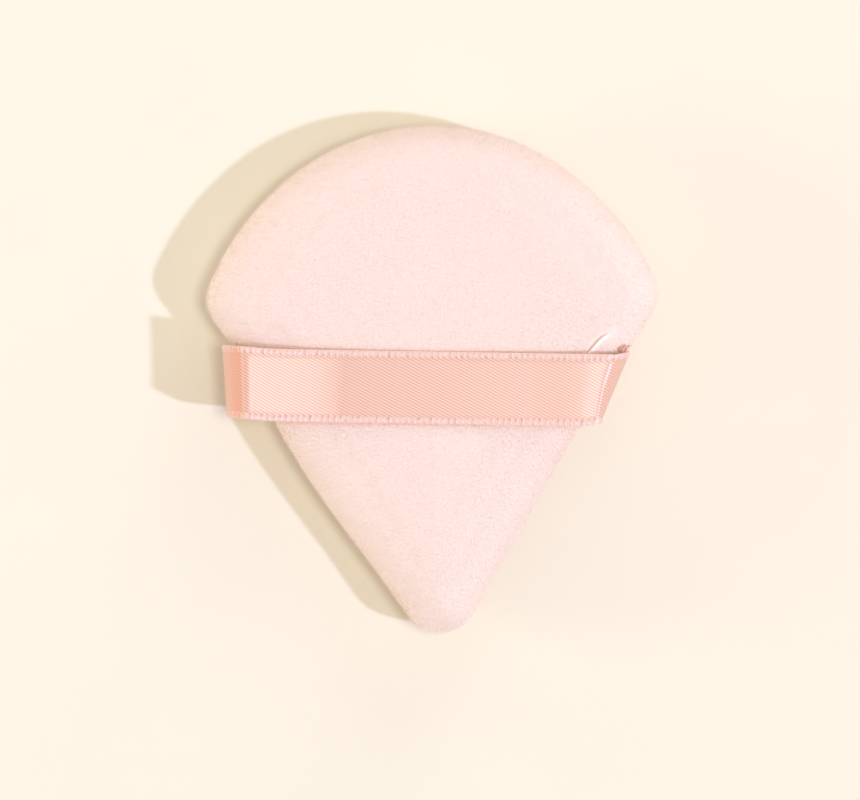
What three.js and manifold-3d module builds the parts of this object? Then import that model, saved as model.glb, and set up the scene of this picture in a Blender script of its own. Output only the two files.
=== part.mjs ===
// Fan-shaped velour powder puff with a satin ribbon to slip the fingers under.
// Millimetres, +Z up. The puff lies on its powdering side: the resting face is z = 0, the pointed tip
// looks towards -Y, and the origin is under the middle of its length and width.
import * as THREE from 'three';
import { mergeVertices } from 'three/addons/utils/BufferGeometryUtils.js';
import Module from 'manifold-3d';

const wasm = await Module();
wasm.setup();

// Outline of the pad seen from above
const PAD_LENGTH = 72;
const PAD_WIDTH = 63.4;
const CORNER_RADIUS = 5.85;
const CORNER_RISE = 11.7; // from the middle of the length up to the centre of each corner
const TIP_RADIUS = 5.6;
const SHOULDER_ANGLE = THREE.MathUtils.degToRad(24.7); // where each corner runs into the rounded top
const APEX_HANDLE = 14.3; // reach of the top curve's handles, at its highest point and at the shoulder
const SHOULDER_HANDLE = 12.7;
const SIDE_DRAW = 0.55; // how far each straight side is drawn in at its middle

// Height of the pad
const EDGE_ROLL = 6.3; // width of the rounded edge seen from above
const FRONT_RISE = 6.2; // seam up to the shoulder of the front
const FRONT_CROWN = 1.0; // middle of the front above its shoulder
const BACK_DROP = 5.9; // seam down to the shoulder of the back
const BACK_CROWN = 0.9;
const REST_CUT = 0.5; // depth of the back's crown that is flat where the puff lies
const SEAM_PINCH = 0.7; // depth of the groove that the seam pulls round the edge
const GROOVE_ANGLE = THREE.MathUtils.degToRad(8); // where the groove opens out into the rounded edge

// Cloth, thread and seam
const CLOTH_THICKNESS = 1.2;
const SEAM_ALLOWANCE = 4.5; // cloth turned in beyond the outline
const SEAM_GAP = 0.3; // between the two turned-in edges
const CLEARANCE = 0.3;
const THREAD_RADIUS = 0.2;
const STITCH_MARGIN = 1.1; // from the inside of the cloth to the stitch line
const TACK_MARGIN = 1.3; // from the stitch line to the middle of a tack
const TACK_SWING = 0.4;
const TACK_LENGTH = 8;
const TACK_PITCH = 1.6;
const CLOSING_LENGTH = 18; // turning gap that is sewn shut by hand
const CLOSING_PITCH = 2.25;
const CLOSING_SWING = 0.25;
const CLOSING_FROM_TIP = 17; // from the tip of the pad to the middle of that gap, along the length

// Ribbon
const RIBBON_WIDTH = 10;
const RIBBON_THICKNESS = 0.4;
const RIBBON_LEAN = THREE.MathUtils.degToRad(-2.06);
const RIBBON_OFFSET = -0.55; // from the middle of the length to the ribbon's middle line
const RAW_EDGE_SETBACK = 1.2; // the ribbon's cut end stops this far short of the cloth's raw edge
const SPAN_LENGTH = 24; // middle stretch that lies over two fingers
const FOLD_RADIUS = 0.6;
const LEFT_STAND_UPPER = 0.9; // how far the fold stands out from the pad at the ribbon's two edges
const LEFT_STAND_LOWER = 6.6;
const RIGHT_STAND_UPPER = 0.7;
const RIGHT_STAND_LOWER = 1.6;

// Fineness of the surfaces
const TOP_STEPS = 9;
const CORNER_STEPS = 6;
const SIDE_STEPS = 8;
const TIP_STEPS = 5;
const FINE = 6; // the measuring outline is this many times finer than the meshes
const CROWN_SHARES = [0.35, 0.65, 0.88]; // rings over the front's crown, as shares of the way out
const ROLL_STEPS = 4;
const ACROSS_STEPS = 4;
const FOLD_STEPS = 3;
const LEG_STEPS = 6;
const APPROACH_STEPS = 3; // from the top of a leg to the span
const SPAN_STEPS = 6;
const THREAD_SIDES = 5;
const BISECTIONS = 40;

// Heights that follow from the sizes above
const SEAM_HEIGHT = BACK_DROP + BACK_CROWN - REST_CUT;
const FLANGE_FACE = SEAM_GAP / 2;
const FLANGE_BACK = FLANGE_FACE + CLOTH_THICKNESS;
const THREAD_LEVEL = FLANGE_BACK + CLEARANCE + THREAD_RADIUS;
const FOAM_SLOT = THREAD_LEVEL + THREAD_RADIUS + CLEARANCE;
const FOAM_INSET = CLOTH_THICKNESS + CLEARANCE;
const STITCH_INSET = CLOTH_THICKNESS + STITCH_MARGIN;
const TAIL_LENGTH = SEAM_ALLOWANCE - RAW_EDGE_SETBACK;
const RIBBON_LIFT = CLEARANCE + RIBBON_THICKNESS / 2; // pad's surface to the middle of the ribbon
const PAD_CENTRE = new THREE.Vector2(0, CORNER_RISE / 2);

/** Point on a circle. */
function onCircle(centre, radius, angle) {
  return new THREE.Vector2(Math.cos(angle), Math.sin(angle)).multiplyScalar(radius).add(centre);
}

/** The right half of the outline, from the top of the pad round to its tip, both ends included. */
function halfOutline(fine) {
  const top = PAD_LENGTH / 2;
  const corner = new THREE.Vector2(PAD_WIDTH / 2 - CORNER_RADIUS, CORNER_RISE);
  const tip = new THREE.Vector2(0, TIP_RADIUS - PAD_LENGTH / 2);

  const shoulder = onCircle(corner, CORNER_RADIUS, SHOULDER_ANGLE);
  const tangent = new THREE.Vector2(-Math.sin(SHOULDER_ANGLE), Math.cos(SHOULDER_ANGLE));
  const crown = new THREE.CubicBezierCurve(
    new THREE.Vector2(0, top),
    new THREE.Vector2(APEX_HANDLE, top),
    shoulder.clone().addScaledVector(tangent, SHOULDER_HANDLE),
    shoulder,
  );

  const run = tip.clone().sub(corner);
  const sideAngle = run.angle() - 2 * Math.PI + Math.acos((CORNER_RADIUS - TIP_RADIUS) / run.length());
  const outward = new THREE.Vector2(Math.cos(sideAngle), Math.sin(sideAngle));
  const sideStart = onCircle(corner, CORNER_RADIUS, sideAngle);
  const sideEnd = onCircle(tip, TIP_RADIUS, sideAngle);

  const points = crown.getPoints(TOP_STEPS * fine);
  const cornerSteps = CORNER_STEPS * fine;
  for (let i = 1; i <= cornerSteps; i += 1) {
    const angle = THREE.MathUtils.lerp(SHOULDER_ANGLE, sideAngle, i / cornerSteps);
    points.push(onCircle(corner, CORNER_RADIUS, angle));
  }
  const sideSteps = SIDE_STEPS * fine;
  for (let i = 1; i <= sideSteps; i += 1) {
    const along = i / sideSteps;
    const drawn = SIDE_DRAW * Math.sin(Math.PI * along) ** 2;
    points.push(sideStart.clone().lerp(sideEnd, along).addScaledVector(outward, -drawn));
  }
  const tipSteps = TIP_STEPS * fine;
  for (let i = 1; i <= tipSteps; i += 1) {
    const angle = THREE.MathUtils.lerp(sideAngle, -Math.PI / 2, i / tipSteps);
    points.push(onCircle(tip, TIP_RADIUS, angle));
  }
  return points;
}

/** The whole outline, anticlockwise from the top of the pad, each point once. */
function fullOutline(fine) {
  const right = halfOutline(fine);
  const left = right.slice(1, -1).map((p) => new THREE.Vector2(-p.x, p.y));
  return [...left, ...right.reverse()];
}

const outline = fullOutline(1);
const measure = fullOutline(FINE);

/** Calls back with the two ends of every short edge of the measuring outline. */
function eachEdge(visit) {
  for (let i = 0; i < measure.length; i += 1) {
    visit(measure[i], measure[(i + 1) % measure.length]);
  }
}

/** Distance from a point inside the pad to its outline. */
function depthInside(point) {
  let least = Infinity;
  eachEdge((a, b) => {
    const edgeX = b.x - a.x;
    const edgeY = b.y - a.y;
    const share = ((point.x - a.x) * edgeX + (point.y - a.y) * edgeY) / (edgeX * edgeX + edgeY * edgeY);
    const along = THREE.MathUtils.clamp(share, 0, 1);
    least = Math.min(least, Math.hypot(point.x - a.x - along * edgeX, point.y - a.y - along * edgeY));
  });
  return least;
}

/** How far a ray from a point inside the pad runs before it meets the outline. */
function reach(from, direction) {
  let nearest = Infinity;
  eachEdge((a, b) => {
    const edge = b.clone().sub(a);
    const across = direction.cross(edge);
    const offset = a.clone().sub(from);
    const along = offset.cross(edge) / across;
    const share = offset.cross(direction) / across;
    if (along > 0 && share >= 0 && share <= 1) {
      nearest = Math.min(nearest, along);
    }
  });
  return nearest;
}

/** The point on the line from the outline to the pad's centre that lies at a depth inside the pad. */
function atDepth(edgePoint, depth) {
  let low = 0;
  let high = 1;
  for (let i = 0; i < BISECTIONS; i += 1) {
    const middle = (low + high) / 2;
    if (depthInside(edgePoint.clone().lerp(PAD_CENTRE, middle)) < depth) {
      low = middle;
    } else {
      high = middle;
    }
  }
  return edgePoint.clone().lerp(PAD_CENTRE, high);
}

/** Ring of points at a depth inside the outline, at a height above the resting face. */
function depthRing(depth, height) {
  return outline.map((p) => {
    const q = depth > 0 ? atDepth(p, depth) : p;
    return new THREE.Vector3(q.x, q.y, height);
  });
}

const rollRing = depthRing(EDGE_ROLL, 0);

/** Share of the crown's height at a share of the way from the pad's centre to its rounded edge. */
function crownShape(share) {
  return share < 1 ? 1 - share * share : 0;
}

/** One side of the pad: +1 is the front, which rises from the seam, and -1 the back. */
function padSide(sign) {
  const front = sign > 0;
  const swell = front ? FRONT_RISE : BACK_DROP;
  const crown = front ? FRONT_CROWN : BACK_CROWN;
  const flat = front ? crown : crown - REST_CUT;
  const flatShare = Math.sqrt(1 - flat / crown);
  const shares = front ? CROWN_SHARES : [flatShare, (1 + flatShare) / 2];

  /** Height of the crowned middle of a surface that lies inset below the cloth's face. */
  function middleHeight(share, inset) {
    return SEAM_HEIGHT + sign * (swell - inset + Math.min(crown * crownShape(share), flat));
  }

  /** Rings from the middle out to the rounded edge's lowest angle. */
  function rings(inset, lowest) {
    const middle = shares.map((share) =>
      rollRing.map((p) => {
        const q = PAD_CENTRE.clone().lerp(new THREE.Vector2(p.x, p.y), share);
        return new THREE.Vector3(q.x, q.y, middleHeight(share, inset));
      }),
    );
    const rolled = [];
    for (let i = 0; i <= ROLL_STEPS; i += 1) {
      const angle = THREE.MathUtils.lerp(Math.PI / 2, lowest, i / ROLL_STEPS);
      const inward = 1 - Math.cos(angle) / Math.cos(GROOVE_ANGLE);
      const depth = inset + (EDGE_ROLL - inset) * Math.max(inward, 0);
      rolled.push(depthRing(depth, SEAM_HEIGHT + sign * (swell - inset) * Math.sin(angle)));
    }
    return [...middle, ...rolled];
  }

  /** Angle on the rounded edge at a height above or below the seam. */
  function angleAt(inset, height) {
    return Math.asin(height / (swell - inset));
  }

  /** Middle point of a surface. */
  function middle(inset) {
    return new THREE.Vector3(PAD_CENTRE.x, PAD_CENTRE.y, middleHeight(0, inset));
  }

  return { rings, angleAt, middle };
}

const frontSide = padSide(1);
const backSide = padSide(-1);

/** Closed solid through rings of points, from a first middle point to a last one. */
function ringSolid(first, rings, last) {
  const count = rings[0].length;
  const points = [first, ...rings.flat(), last];
  const index = [];
  const at = (ring, i) => 1 + ring * count + (i % count);
  for (let i = 0; i < count; i += 1) {
    index.push(0, at(0, i), at(0, i + 1));
    for (let ring = 0; ring + 1 < rings.length; ring += 1) {
      index.push(at(ring, i), at(ring + 1, i), at(ring + 1, i + 1));
      index.push(at(ring, i), at(ring + 1, i + 1), at(ring, i + 1));
    }
    index.push(points.length - 1, at(rings.length - 1, i + 1), at(rings.length - 1, i));
  }
  return new THREE.BufferGeometry().setFromPoints(points).setIndex(index);
}

/** A closed geometry as a solid that can be cut. */
function toSolid(geometry) {
  const bare = geometry.clone();
  bare.deleteAttribute('normal');
  bare.deleteAttribute('uv');
  const merged = mergeVertices(bare);
  return new wasm.Manifold(
    new wasm.Mesh({
      numProp: 3,
      vertProperties: new Float32Array(merged.attributes.position.array),
      triVerts: new Uint32Array(merged.index.array),
    }),
  );
}

/** A cut solid back as a geometry. */
function toGeometry(solid) {
  const mesh = solid.getMesh();
  const geometry = new THREE.BufferGeometry();
  geometry.setAttribute('position', new THREE.BufferAttribute(mesh.vertProperties, mesh.numProp));
  geometry.setIndex(new THREE.BufferAttribute(mesh.triVerts, 1));
  return geometry;
}

// The ribbon's own directions: along its length, left to right, and across it
const ribbonAlong = new THREE.Vector2(Math.cos(RIBBON_LEAN), Math.sin(RIBBON_LEAN));
const ribbonAcross = new THREE.Vector2(-ribbonAlong.y, ribbonAlong.x);

/** Plan point from a distance along the ribbon and a distance across it. */
function onRibbon(along, across) {
  const start = new THREE.Vector2(0, RIBBON_OFFSET);
  return start.addScaledVector(ribbonAlong, along).addScaledVector(ribbonAcross, across);
}

/** Where a line along the ribbon crosses the outline: end -1 is the left, +1 the right. */
function crossing(end, across) {
  return end * reach(onRibbon(0, across), ribbonAlong.clone().multiplyScalar(end));
}

/** Height of the ribbon's middle over the top of the pad. */
function ribbonHeight(along, across) {
  const point = onRibbon(along, across);
  const ray = point.clone().sub(PAD_CENTRE);
  const edge = atDepth(PAD_CENTRE.clone().addScaledVector(ray, reach(PAD_CENTRE, ray)), EDGE_ROLL);
  const share = ray.length() / edge.distanceTo(PAD_CENTRE);
  return SEAM_HEIGHT + FRONT_RISE + FRONT_CROWN * crownShape(share) + RIBBON_LIFT;
}

/** Path of one end of the ribbon at a place across it, from its cut end in the seam to the span. */
function endPath(end, across) {
  const upperShare = across / RIBBON_WIDTH + 0.5;
  const lower = end < 0 ? LEFT_STAND_LOWER : RIGHT_STAND_LOWER;
  const upper = end < 0 ? LEFT_STAND_UPPER : RIGHT_STAND_UPPER;
  const seam = crossing(end, across);
  const fold = seam + end * THREE.MathUtils.lerp(lower, upper, upperShare);
  const split = end * (SPAN_LENGTH / 2 + CLEARANCE);

  const path = [
    [seam - end * TAIL_LENGTH, SEAM_HEIGHT],
    [seam - end * SEAM_PINCH, SEAM_HEIGHT],
  ];
  for (let i = 0; i <= FOLD_STEPS; i += 1) {
    const angle = (i / FOLD_STEPS) * (Math.PI / 2);
    const out = fold - end * FOLD_RADIUS * (1 - Math.sin(angle));
    path.push([out, SEAM_HEIGHT + FOLD_RADIUS * (1 - Math.cos(angle))]);
  }
  const leg = EDGE_ROLL + upper + RIBBON_LIFT;
  const legTop = ribbonHeight(fold - end * leg, across);
  for (let i = 1; i <= LEG_STEPS; i += 1) {
    const angle = (i / LEG_STEPS) * (Math.PI / 2);
    const rise = (legTop - SEAM_HEIGHT - FOLD_RADIUS) * Math.sin(angle);
    path.push([fold - end * leg * (1 - Math.cos(angle)), SEAM_HEIGHT + FOLD_RADIUS + rise]);
  }
  for (let i = 1; i <= APPROACH_STEPS; i += 1) {
    const along = THREE.MathUtils.lerp(fold - end * leg, split, i / APPROACH_STEPS);
    path.push([along, ribbonHeight(along, across)]);
  }
  return path;
}

/** Path of the span at a place across it, from left to right. */
function spanPath(across) {
  const path = [];
  for (let i = 0; i <= SPAN_STEPS; i += 1) {
    const along = SPAN_LENGTH * (i / SPAN_STEPS - 0.5);
    path.push([along, ribbonHeight(along, across)]);
  }
  return path;
}

/** Closed strip of ribbon from a function that gives its path at each place across it. */
function ribbonStrip(pathAt) {
  const rows = [];
  for (let i = 0; i <= ACROSS_STEPS; i += 1) {
    const across = RIBBON_WIDTH * (i / ACROSS_STEPS - 0.5);
    const path = pathAt(across);
    const face = [];
    const back = [];
    path.forEach(([along, height], k) => {
      const [alongBefore, heightBefore] = path[Math.max(k - 1, 0)];
      const [alongAfter, heightAfter] = path[Math.min(k + 1, path.length - 1)];
      const slope = new THREE.Vector2(alongAfter - alongBefore, heightAfter - heightBefore).normalize();
      [face, back].forEach((side, which) => {
        const offset = (which === 0 ? 0.5 : -0.5) * RIBBON_THICKNESS;
        const plan = onRibbon(along - slope.y * offset, across);
        side.push(new THREE.Vector3(plan.x, plan.y, height + slope.x * offset));
      });
    });
    rows.push([...face, ...back.reverse()]);
  }
  const count = rows[0].length;
  const index = [];
  const at = (row, k) => row * count + (k % count);
  for (let row = 0; row + 1 < rows.length; row += 1) {
    for (let k = 0; k < count; k += 1) {
      index.push(at(row, k), at(row, k + 1), at(row + 1, k + 1));
      index.push(at(row, k), at(row + 1, k + 1), at(row + 1, k));
    }
  }
  const last = rows.length - 1;
  for (let k = 0; k + 1 < count / 2; k += 1) {
    const opposite = count - 1 - k;
    index.push(at(0, k), at(0, opposite), at(0, k + 1));
    index.push(at(0, k + 1), at(0, opposite), at(0, opposite - 1));
    index.push(at(last, k), at(last, k + 1), at(last, opposite));
    index.push(at(last, k + 1), at(last, opposite - 1), at(last, opposite));
  }
  const geometry = new THREE.BufferGeometry().setFromPoints(rows.flat()).setIndex(index);
  return facingOut(geometry);
}

/** Turns a closed geometry's faces round where they point inwards. */
function facingOut(geometry) {
  const position = geometry.attributes.position;
  const corners = [0, 1, 2].map(() => new THREE.Vector3());
  let volume = 0;
  for (let i = 0; i < geometry.index.count; i += 3) {
    corners.forEach((corner, k) => corner.fromBufferAttribute(position, geometry.index.getX(i + k)));
    volume += corners[0].dot(corners[1].clone().cross(corners[2]));
  }
  if (volume < 0) {
    geometry.setIndex([...geometry.index.array].reverse());
  }
  return geometry;
}

/** Room in the turned-in edges for one end of the ribbon. */
function tailRoom(end) {
  const half = RIBBON_WIDTH / 2 + CLEARANCE;
  const inner = (across) => onRibbon(crossing(end, across) - end * (TAIL_LENGTH + CLEARANCE), across);
  const outer = (across) => onRibbon(crossing(end, across) + end * EDGE_ROLL, across);
  const shape = new THREE.Shape([inner(-half), outer(-half), outer(half), inner(half)]);
  const depth = RIBBON_THICKNESS + 2 * CLEARANCE;
  const room = new THREE.ExtrudeGeometry(shape, { depth, bevelEnabled: false });
  return room.translate(0, 0, SEAM_HEIGHT - depth / 2);
}

/** Cuts the room for both ribbon ends out of a panel. */
function withTailRoom(geometry) {
  const cut = [-1, 1].reduce((solid, end) => solid.subtract(toSolid(tailRoom(end))), toSolid(geometry));
  return toGeometry(cut);
}

/** Front cover: its face, the groove at the seam, the turned-in edge and the inside. */
function frontPanel() {
  const flangeAngle = frontSide.angleAt(CLOTH_THICKNESS, FLANGE_BACK);
  const rings = [
    ...frontSide.rings(0, GROOVE_ANGLE),
    depthRing(SEAM_PINCH, SEAM_HEIGHT + FLANGE_FACE),
    depthRing(SEAM_ALLOWANCE, SEAM_HEIGHT + FLANGE_FACE),
    depthRing(SEAM_ALLOWANCE, SEAM_HEIGHT + FLANGE_BACK),
    ...frontSide.rings(CLOTH_THICKNESS, flangeAngle).reverse(),
  ];
  return withTailRoom(ringSolid(frontSide.middle(0), rings, frontSide.middle(CLOTH_THICKNESS)));
}

/** Back cover, made the same way downwards, with its flat where the puff lies. */
function backPanel() {
  const flangeAngle = backSide.angleAt(CLOTH_THICKNESS, FLANGE_BACK);
  const rings = [
    ...backSide.rings(CLOTH_THICKNESS, flangeAngle),
    depthRing(SEAM_ALLOWANCE, SEAM_HEIGHT - FLANGE_BACK),
    depthRing(SEAM_ALLOWANCE, SEAM_HEIGHT - FLANGE_FACE),
    depthRing(SEAM_PINCH, SEAM_HEIGHT - FLANGE_FACE),
    ...backSide.rings(0, GROOVE_ANGLE).reverse(),
  ];
  return withTailRoom(ringSolid(backSide.middle(CLOTH_THICKNESS), rings, backSide.middle(0)));
}

/** Foam filling, with a slot all round for the turned-in edges and their stitches. */
function foamCore() {
  const waist = SEAM_ALLOWANCE + CLEARANCE;
  const rings = [
    ...frontSide.rings(FOAM_INSET, frontSide.angleAt(FOAM_INSET, FOAM_SLOT)),
    depthRing(waist, SEAM_HEIGHT + FOAM_SLOT),
    depthRing(waist, SEAM_HEIGHT - FOAM_SLOT),
    ...backSide.rings(FOAM_INSET, backSide.angleAt(FOAM_INSET, FOAM_SLOT)).reverse(),
  ];
  return ringSolid(frontSide.middle(FOAM_INSET), rings, backSide.middle(FOAM_INSET));
}

/** Thread that runs round the stitch line on the inside of one turned-in edge. */
function seamThread(sign) {
  const line = depthRing(STITCH_INSET, SEAM_HEIGHT + sign * THREAD_LEVEL);
  const path = new THREE.CatmullRomCurve3(line, true);
  return new THREE.TubeGeometry(path, line.length, THREAD_RADIUS, THREAD_SIDES, true);
}

/** Length of thread along a list of points, with closed ends. */
function threadLength(points) {
  const angles = Array.from({ length: THREAD_SIDES }, (_, i) => (i / THREAD_SIDES) * 2 * Math.PI);
  const section = angles.map((a) => onCircle(new THREE.Vector2(), THREAD_RADIUS, a));
  const stepsPerPoint = 2;
  return new THREE.ExtrudeGeometry(new THREE.Shape(section), {
    steps: (points.length - 1) * stepsPerPoint,
    extrudePath: new THREE.CatmullRomCurve3(points),
  });
}

/** Zigzag that holds one end of the ribbon down on the front's turned-in edge. */
function tack(end) {
  const count = Math.round(TACK_LENGTH / TACK_PITCH) * 2;
  const points = [];
  for (let i = 0; i <= count; i += 1) {
    const across = TACK_LENGTH * (i / count - 0.5);
    const seam = onRibbon(crossing(end, across), across);
    const swing = i % 2 === 0 ? -TACK_SWING : TACK_SWING;
    const point = atDepth(seam, STITCH_INSET + TACK_MARGIN + swing);
    points.push(new THREE.Vector3(point.x, point.y, SEAM_HEIGHT + THREAD_LEVEL));
  }
  return threadLength(points);
}

/** Hand stitches that shut the turning gap, in the seam's groove on the right side near the tip. */
function closingStitch() {
  const count = Math.round(CLOSING_LENGTH / CLOSING_PITCH) * 2;
  const direction = new THREE.Vector2(1, 0);
  const middle = CLOSING_FROM_TIP - PAD_LENGTH / 2;
  const points = [];
  for (let i = 0; i <= count; i += 1) {
    const start = new THREE.Vector2(0, middle + CLOSING_LENGTH * (i / count - 0.5));
    const edge = start.x + reach(start, direction);
    const swing = i % 2 === 0 ? -CLOSING_SWING : CLOSING_SWING;
    points.push(new THREE.Vector3(edge, start.y, SEAM_HEIGHT + swing));
  }
  return threadLength(points);
}

/** Adds one named piece to the puff. */
function addPiece(puff, name, geometry, material) {
  const piece = new THREE.Mesh(geometry, material.clone());
  piece.name = name;
  puff.add(piece);
}

const velour = new THREE.MeshStandardMaterial({ color: '#f8d6cc', roughness: 0.95, metalness: 0 });
const foam = new THREE.MeshStandardMaterial({ color: '#f6f0e4', roughness: 0.9, metalness: 0 });
const satin = new THREE.MeshStandardMaterial({ color: '#f2b39c', roughness: 0.4, metalness: 0 });
const thread = new THREE.MeshStandardMaterial({ color: '#eebdaa', roughness: 0.6, metalness: 0 });

const puff = new THREE.Group();
addPiece(puff, 'front_panel', frontPanel(), velour);
addPiece(puff, 'back_panel', backPanel(), velour);
addPiece(puff, 'foam_core', foamCore(), foam);
addPiece(puff, 'ribbon_span', ribbonStrip(spanPath), satin);
addPiece(puff, 'ribbon_left_end', ribbonStrip((across) => endPath(-1, across)), satin);
addPiece(puff, 'ribbon_right_end', ribbonStrip((across) => endPath(1, across)), satin);
addPiece(puff, 'needle_thread', seamThread(1), thread);
addPiece(puff, 'bobbin_thread', seamThread(-1), thread);
addPiece(puff, 'left_tack', tack(-1), thread);
addPiece(puff, 'right_tack', tack(1), thread);
addPiece(puff, 'closing_stitch', closingStitch(), thread);

export default puff;
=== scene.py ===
"""Dresses the fan-shaped powder puff: velour covers with cut pile, a satin strap, threads and a studio."""

import logging
import math
from collections.abc import Callable, Iterator
from contextlib import contextmanager
from dataclasses import dataclass, field
from enum import Enum

import bmesh
import bpy
import numpy as np
from mathutils import Matrix, Vector, noise
from mathutils.bvhtree import BVHTree


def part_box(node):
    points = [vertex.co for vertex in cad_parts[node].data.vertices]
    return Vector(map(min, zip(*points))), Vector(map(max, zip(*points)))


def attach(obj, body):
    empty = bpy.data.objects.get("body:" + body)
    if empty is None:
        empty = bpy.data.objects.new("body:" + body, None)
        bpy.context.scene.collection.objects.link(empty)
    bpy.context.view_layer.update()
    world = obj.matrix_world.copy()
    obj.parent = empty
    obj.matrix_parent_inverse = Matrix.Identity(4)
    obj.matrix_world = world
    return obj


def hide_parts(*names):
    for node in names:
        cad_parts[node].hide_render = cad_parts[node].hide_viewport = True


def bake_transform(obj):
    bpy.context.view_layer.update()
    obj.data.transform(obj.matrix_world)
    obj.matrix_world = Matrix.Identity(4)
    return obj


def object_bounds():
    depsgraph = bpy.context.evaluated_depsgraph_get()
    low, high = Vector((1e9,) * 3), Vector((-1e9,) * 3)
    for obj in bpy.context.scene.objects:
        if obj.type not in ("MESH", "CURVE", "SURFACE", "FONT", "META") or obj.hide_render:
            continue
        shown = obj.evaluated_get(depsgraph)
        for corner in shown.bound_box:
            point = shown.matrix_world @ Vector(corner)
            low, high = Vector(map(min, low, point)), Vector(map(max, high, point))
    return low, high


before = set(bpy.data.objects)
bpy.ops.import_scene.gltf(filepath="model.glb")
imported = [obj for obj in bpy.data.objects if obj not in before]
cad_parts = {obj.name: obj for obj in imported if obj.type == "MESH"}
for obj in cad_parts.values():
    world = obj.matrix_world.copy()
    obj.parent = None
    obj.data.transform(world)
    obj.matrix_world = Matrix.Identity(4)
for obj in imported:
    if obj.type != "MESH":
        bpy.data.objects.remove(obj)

LOG = logging.getLogger("powder_puff")
CAD_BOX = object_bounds()
MM = 0.001
# The map that textures are baked through, and how much wider than the puff it reaches
BAKE_MAP = "OFBake"
MAP_MARGIN = 1.04
# Steps that never line up, so that each next point falls in the widest gap of a square
SPREAD_STEPS = np.array([0.7548776662, 0.5698402910])
# A wave texture of scale 1 draws this many diagonal bands to each unit along an axis
DIAGONAL_WAVES = 10 / (2 * math.pi)
# How many points a curve is drawn with from one given point to the next
CURVE_STEPS = 60
# How the strap lies across the pad, and where the seam runs round it, in radians and millimetres
STRAP_LEAN = math.radians(-2.06)
STRAP_OFFSET = -1.0
STRAP_WIDTH = 10.0
SEAM_HEIGHT = 6.3


class Side(Enum):
    """The two faces of the puff."""

    FRONT = "front"
    BACK = "back"


class End(Enum):
    """The two ends of the strap, as the direction of each along the ribbon."""

    LEFT = -1
    RIGHT = 1


# Small helpers


def linear(hex_colour: str) -> tuple[float, float, float, float]:
    """Turns an sRGB hex colour into linear light.

    Args:
        hex_colour: a colour such as "#F4DAD0".

    Returns:
        Red, green, blue and an alpha of 1.
    """
    channels = [int(hex_colour[i : i + 2], 16) / 255 for i in (1, 3, 5)]
    light = [c / 12.92 if c <= 0.04045 else ((c + 0.055) / 1.055) ** 2.4 for c in channels]
    return (*light, 1.0)


def pick(piece: bpy.types.Object) -> None:
    """Makes one object the only selected one, and the active one."""
    bpy.ops.object.select_all(action="DESELECT")
    piece.select_set(True)
    bpy.context.view_layer.objects.active = piece


@contextmanager
def editing(piece: bpy.types.Object) -> Iterator[None]:
    """Opens a piece in edit mode with all of it selected.

    Args:
        piece: the mesh object to edit.
    """
    pick(piece)
    bpy.ops.object.mode_set(mode="EDIT")
    bpy.ops.mesh.select_all(action="SELECT")
    yield
    bpy.ops.object.mode_set(mode="OBJECT")


def apply_modifier(piece: bpy.types.Object, name: str, kind: str, **settings: object) -> None:
    """Adds a modifier to a piece and applies it.

    Args:
        piece: the mesh object.
        name: a name for the modifier.
        kind: Blender's type of modifier.
        **settings: the modifier's properties.
    """
    modifier = piece.modifiers.new(name, kind)
    for key, value in settings.items():
        setattr(modifier, key, value)
    pick(piece)
    bpy.ops.object.modifier_apply(modifier=name)


def points_of(piece: bpy.types.Object) -> np.ndarray:
    """Returns a mesh's vertices in millimetres, one row each."""
    flat = np.empty(len(piece.data.vertices) * 3, np.float32)
    piece.data.vertices.foreach_get("co", flat)
    return flat.reshape(-1, 3).astype(float) / MM


def normals_of(piece: bpy.types.Object) -> np.ndarray:
    """Returns a mesh's vertex normals, one row each."""
    flat = np.empty(len(piece.data.vertices) * 3, np.float32)
    piece.data.vertex_normals.foreach_get("vector", flat)
    return flat.reshape(-1, 3).astype(float)


def move_points(piece: bpy.types.Object, points: np.ndarray) -> None:
    """Puts a mesh's vertices at points given in millimetres."""
    piece.data.vertices.foreach_set("co", (points * MM).astype(np.float32).ravel())
    piece.data.update()


def ease(values: np.ndarray, low: float, high: float) -> np.ndarray:
    """Rises smoothly from 0 at low to 1 at high.

    Args:
        values: any array.
        low: where the rise starts.
        high: where it ends; it may be below low, for a fall.

    Returns:
        An array of the same shape, from 0 to 1.
    """
    t = np.clip((values - low) / (high - low), 0, 1)
    return t * t * (3 - 2 * t)


def bell(values: np.ndarray, width: float) -> np.ndarray:
    """Returns a bell curve of the values that is 1 at zero and has the given standard width."""
    return np.exp(-0.5 * (values / width) ** 2)


def lengths_along(line: np.ndarray) -> np.ndarray:
    """Returns the distance along a line of points, from its first point to each."""
    return np.concatenate([[0], np.cumsum(np.linalg.norm(np.diff(line, axis=0), axis=1))])


def evenly(line: np.ndarray, count: int) -> np.ndarray:
    """Spaces a line of points evenly.

    Args:
        line: points, one row each.
        count: how many points to return.

    Returns:
        Points at even distances along the same line.
    """
    along = lengths_along(line)
    even = np.linspace(0, along[-1], count)
    return np.stack([np.interp(even, along, line[:, axis]) for axis in range(line.shape[1])], axis=1)


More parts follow.
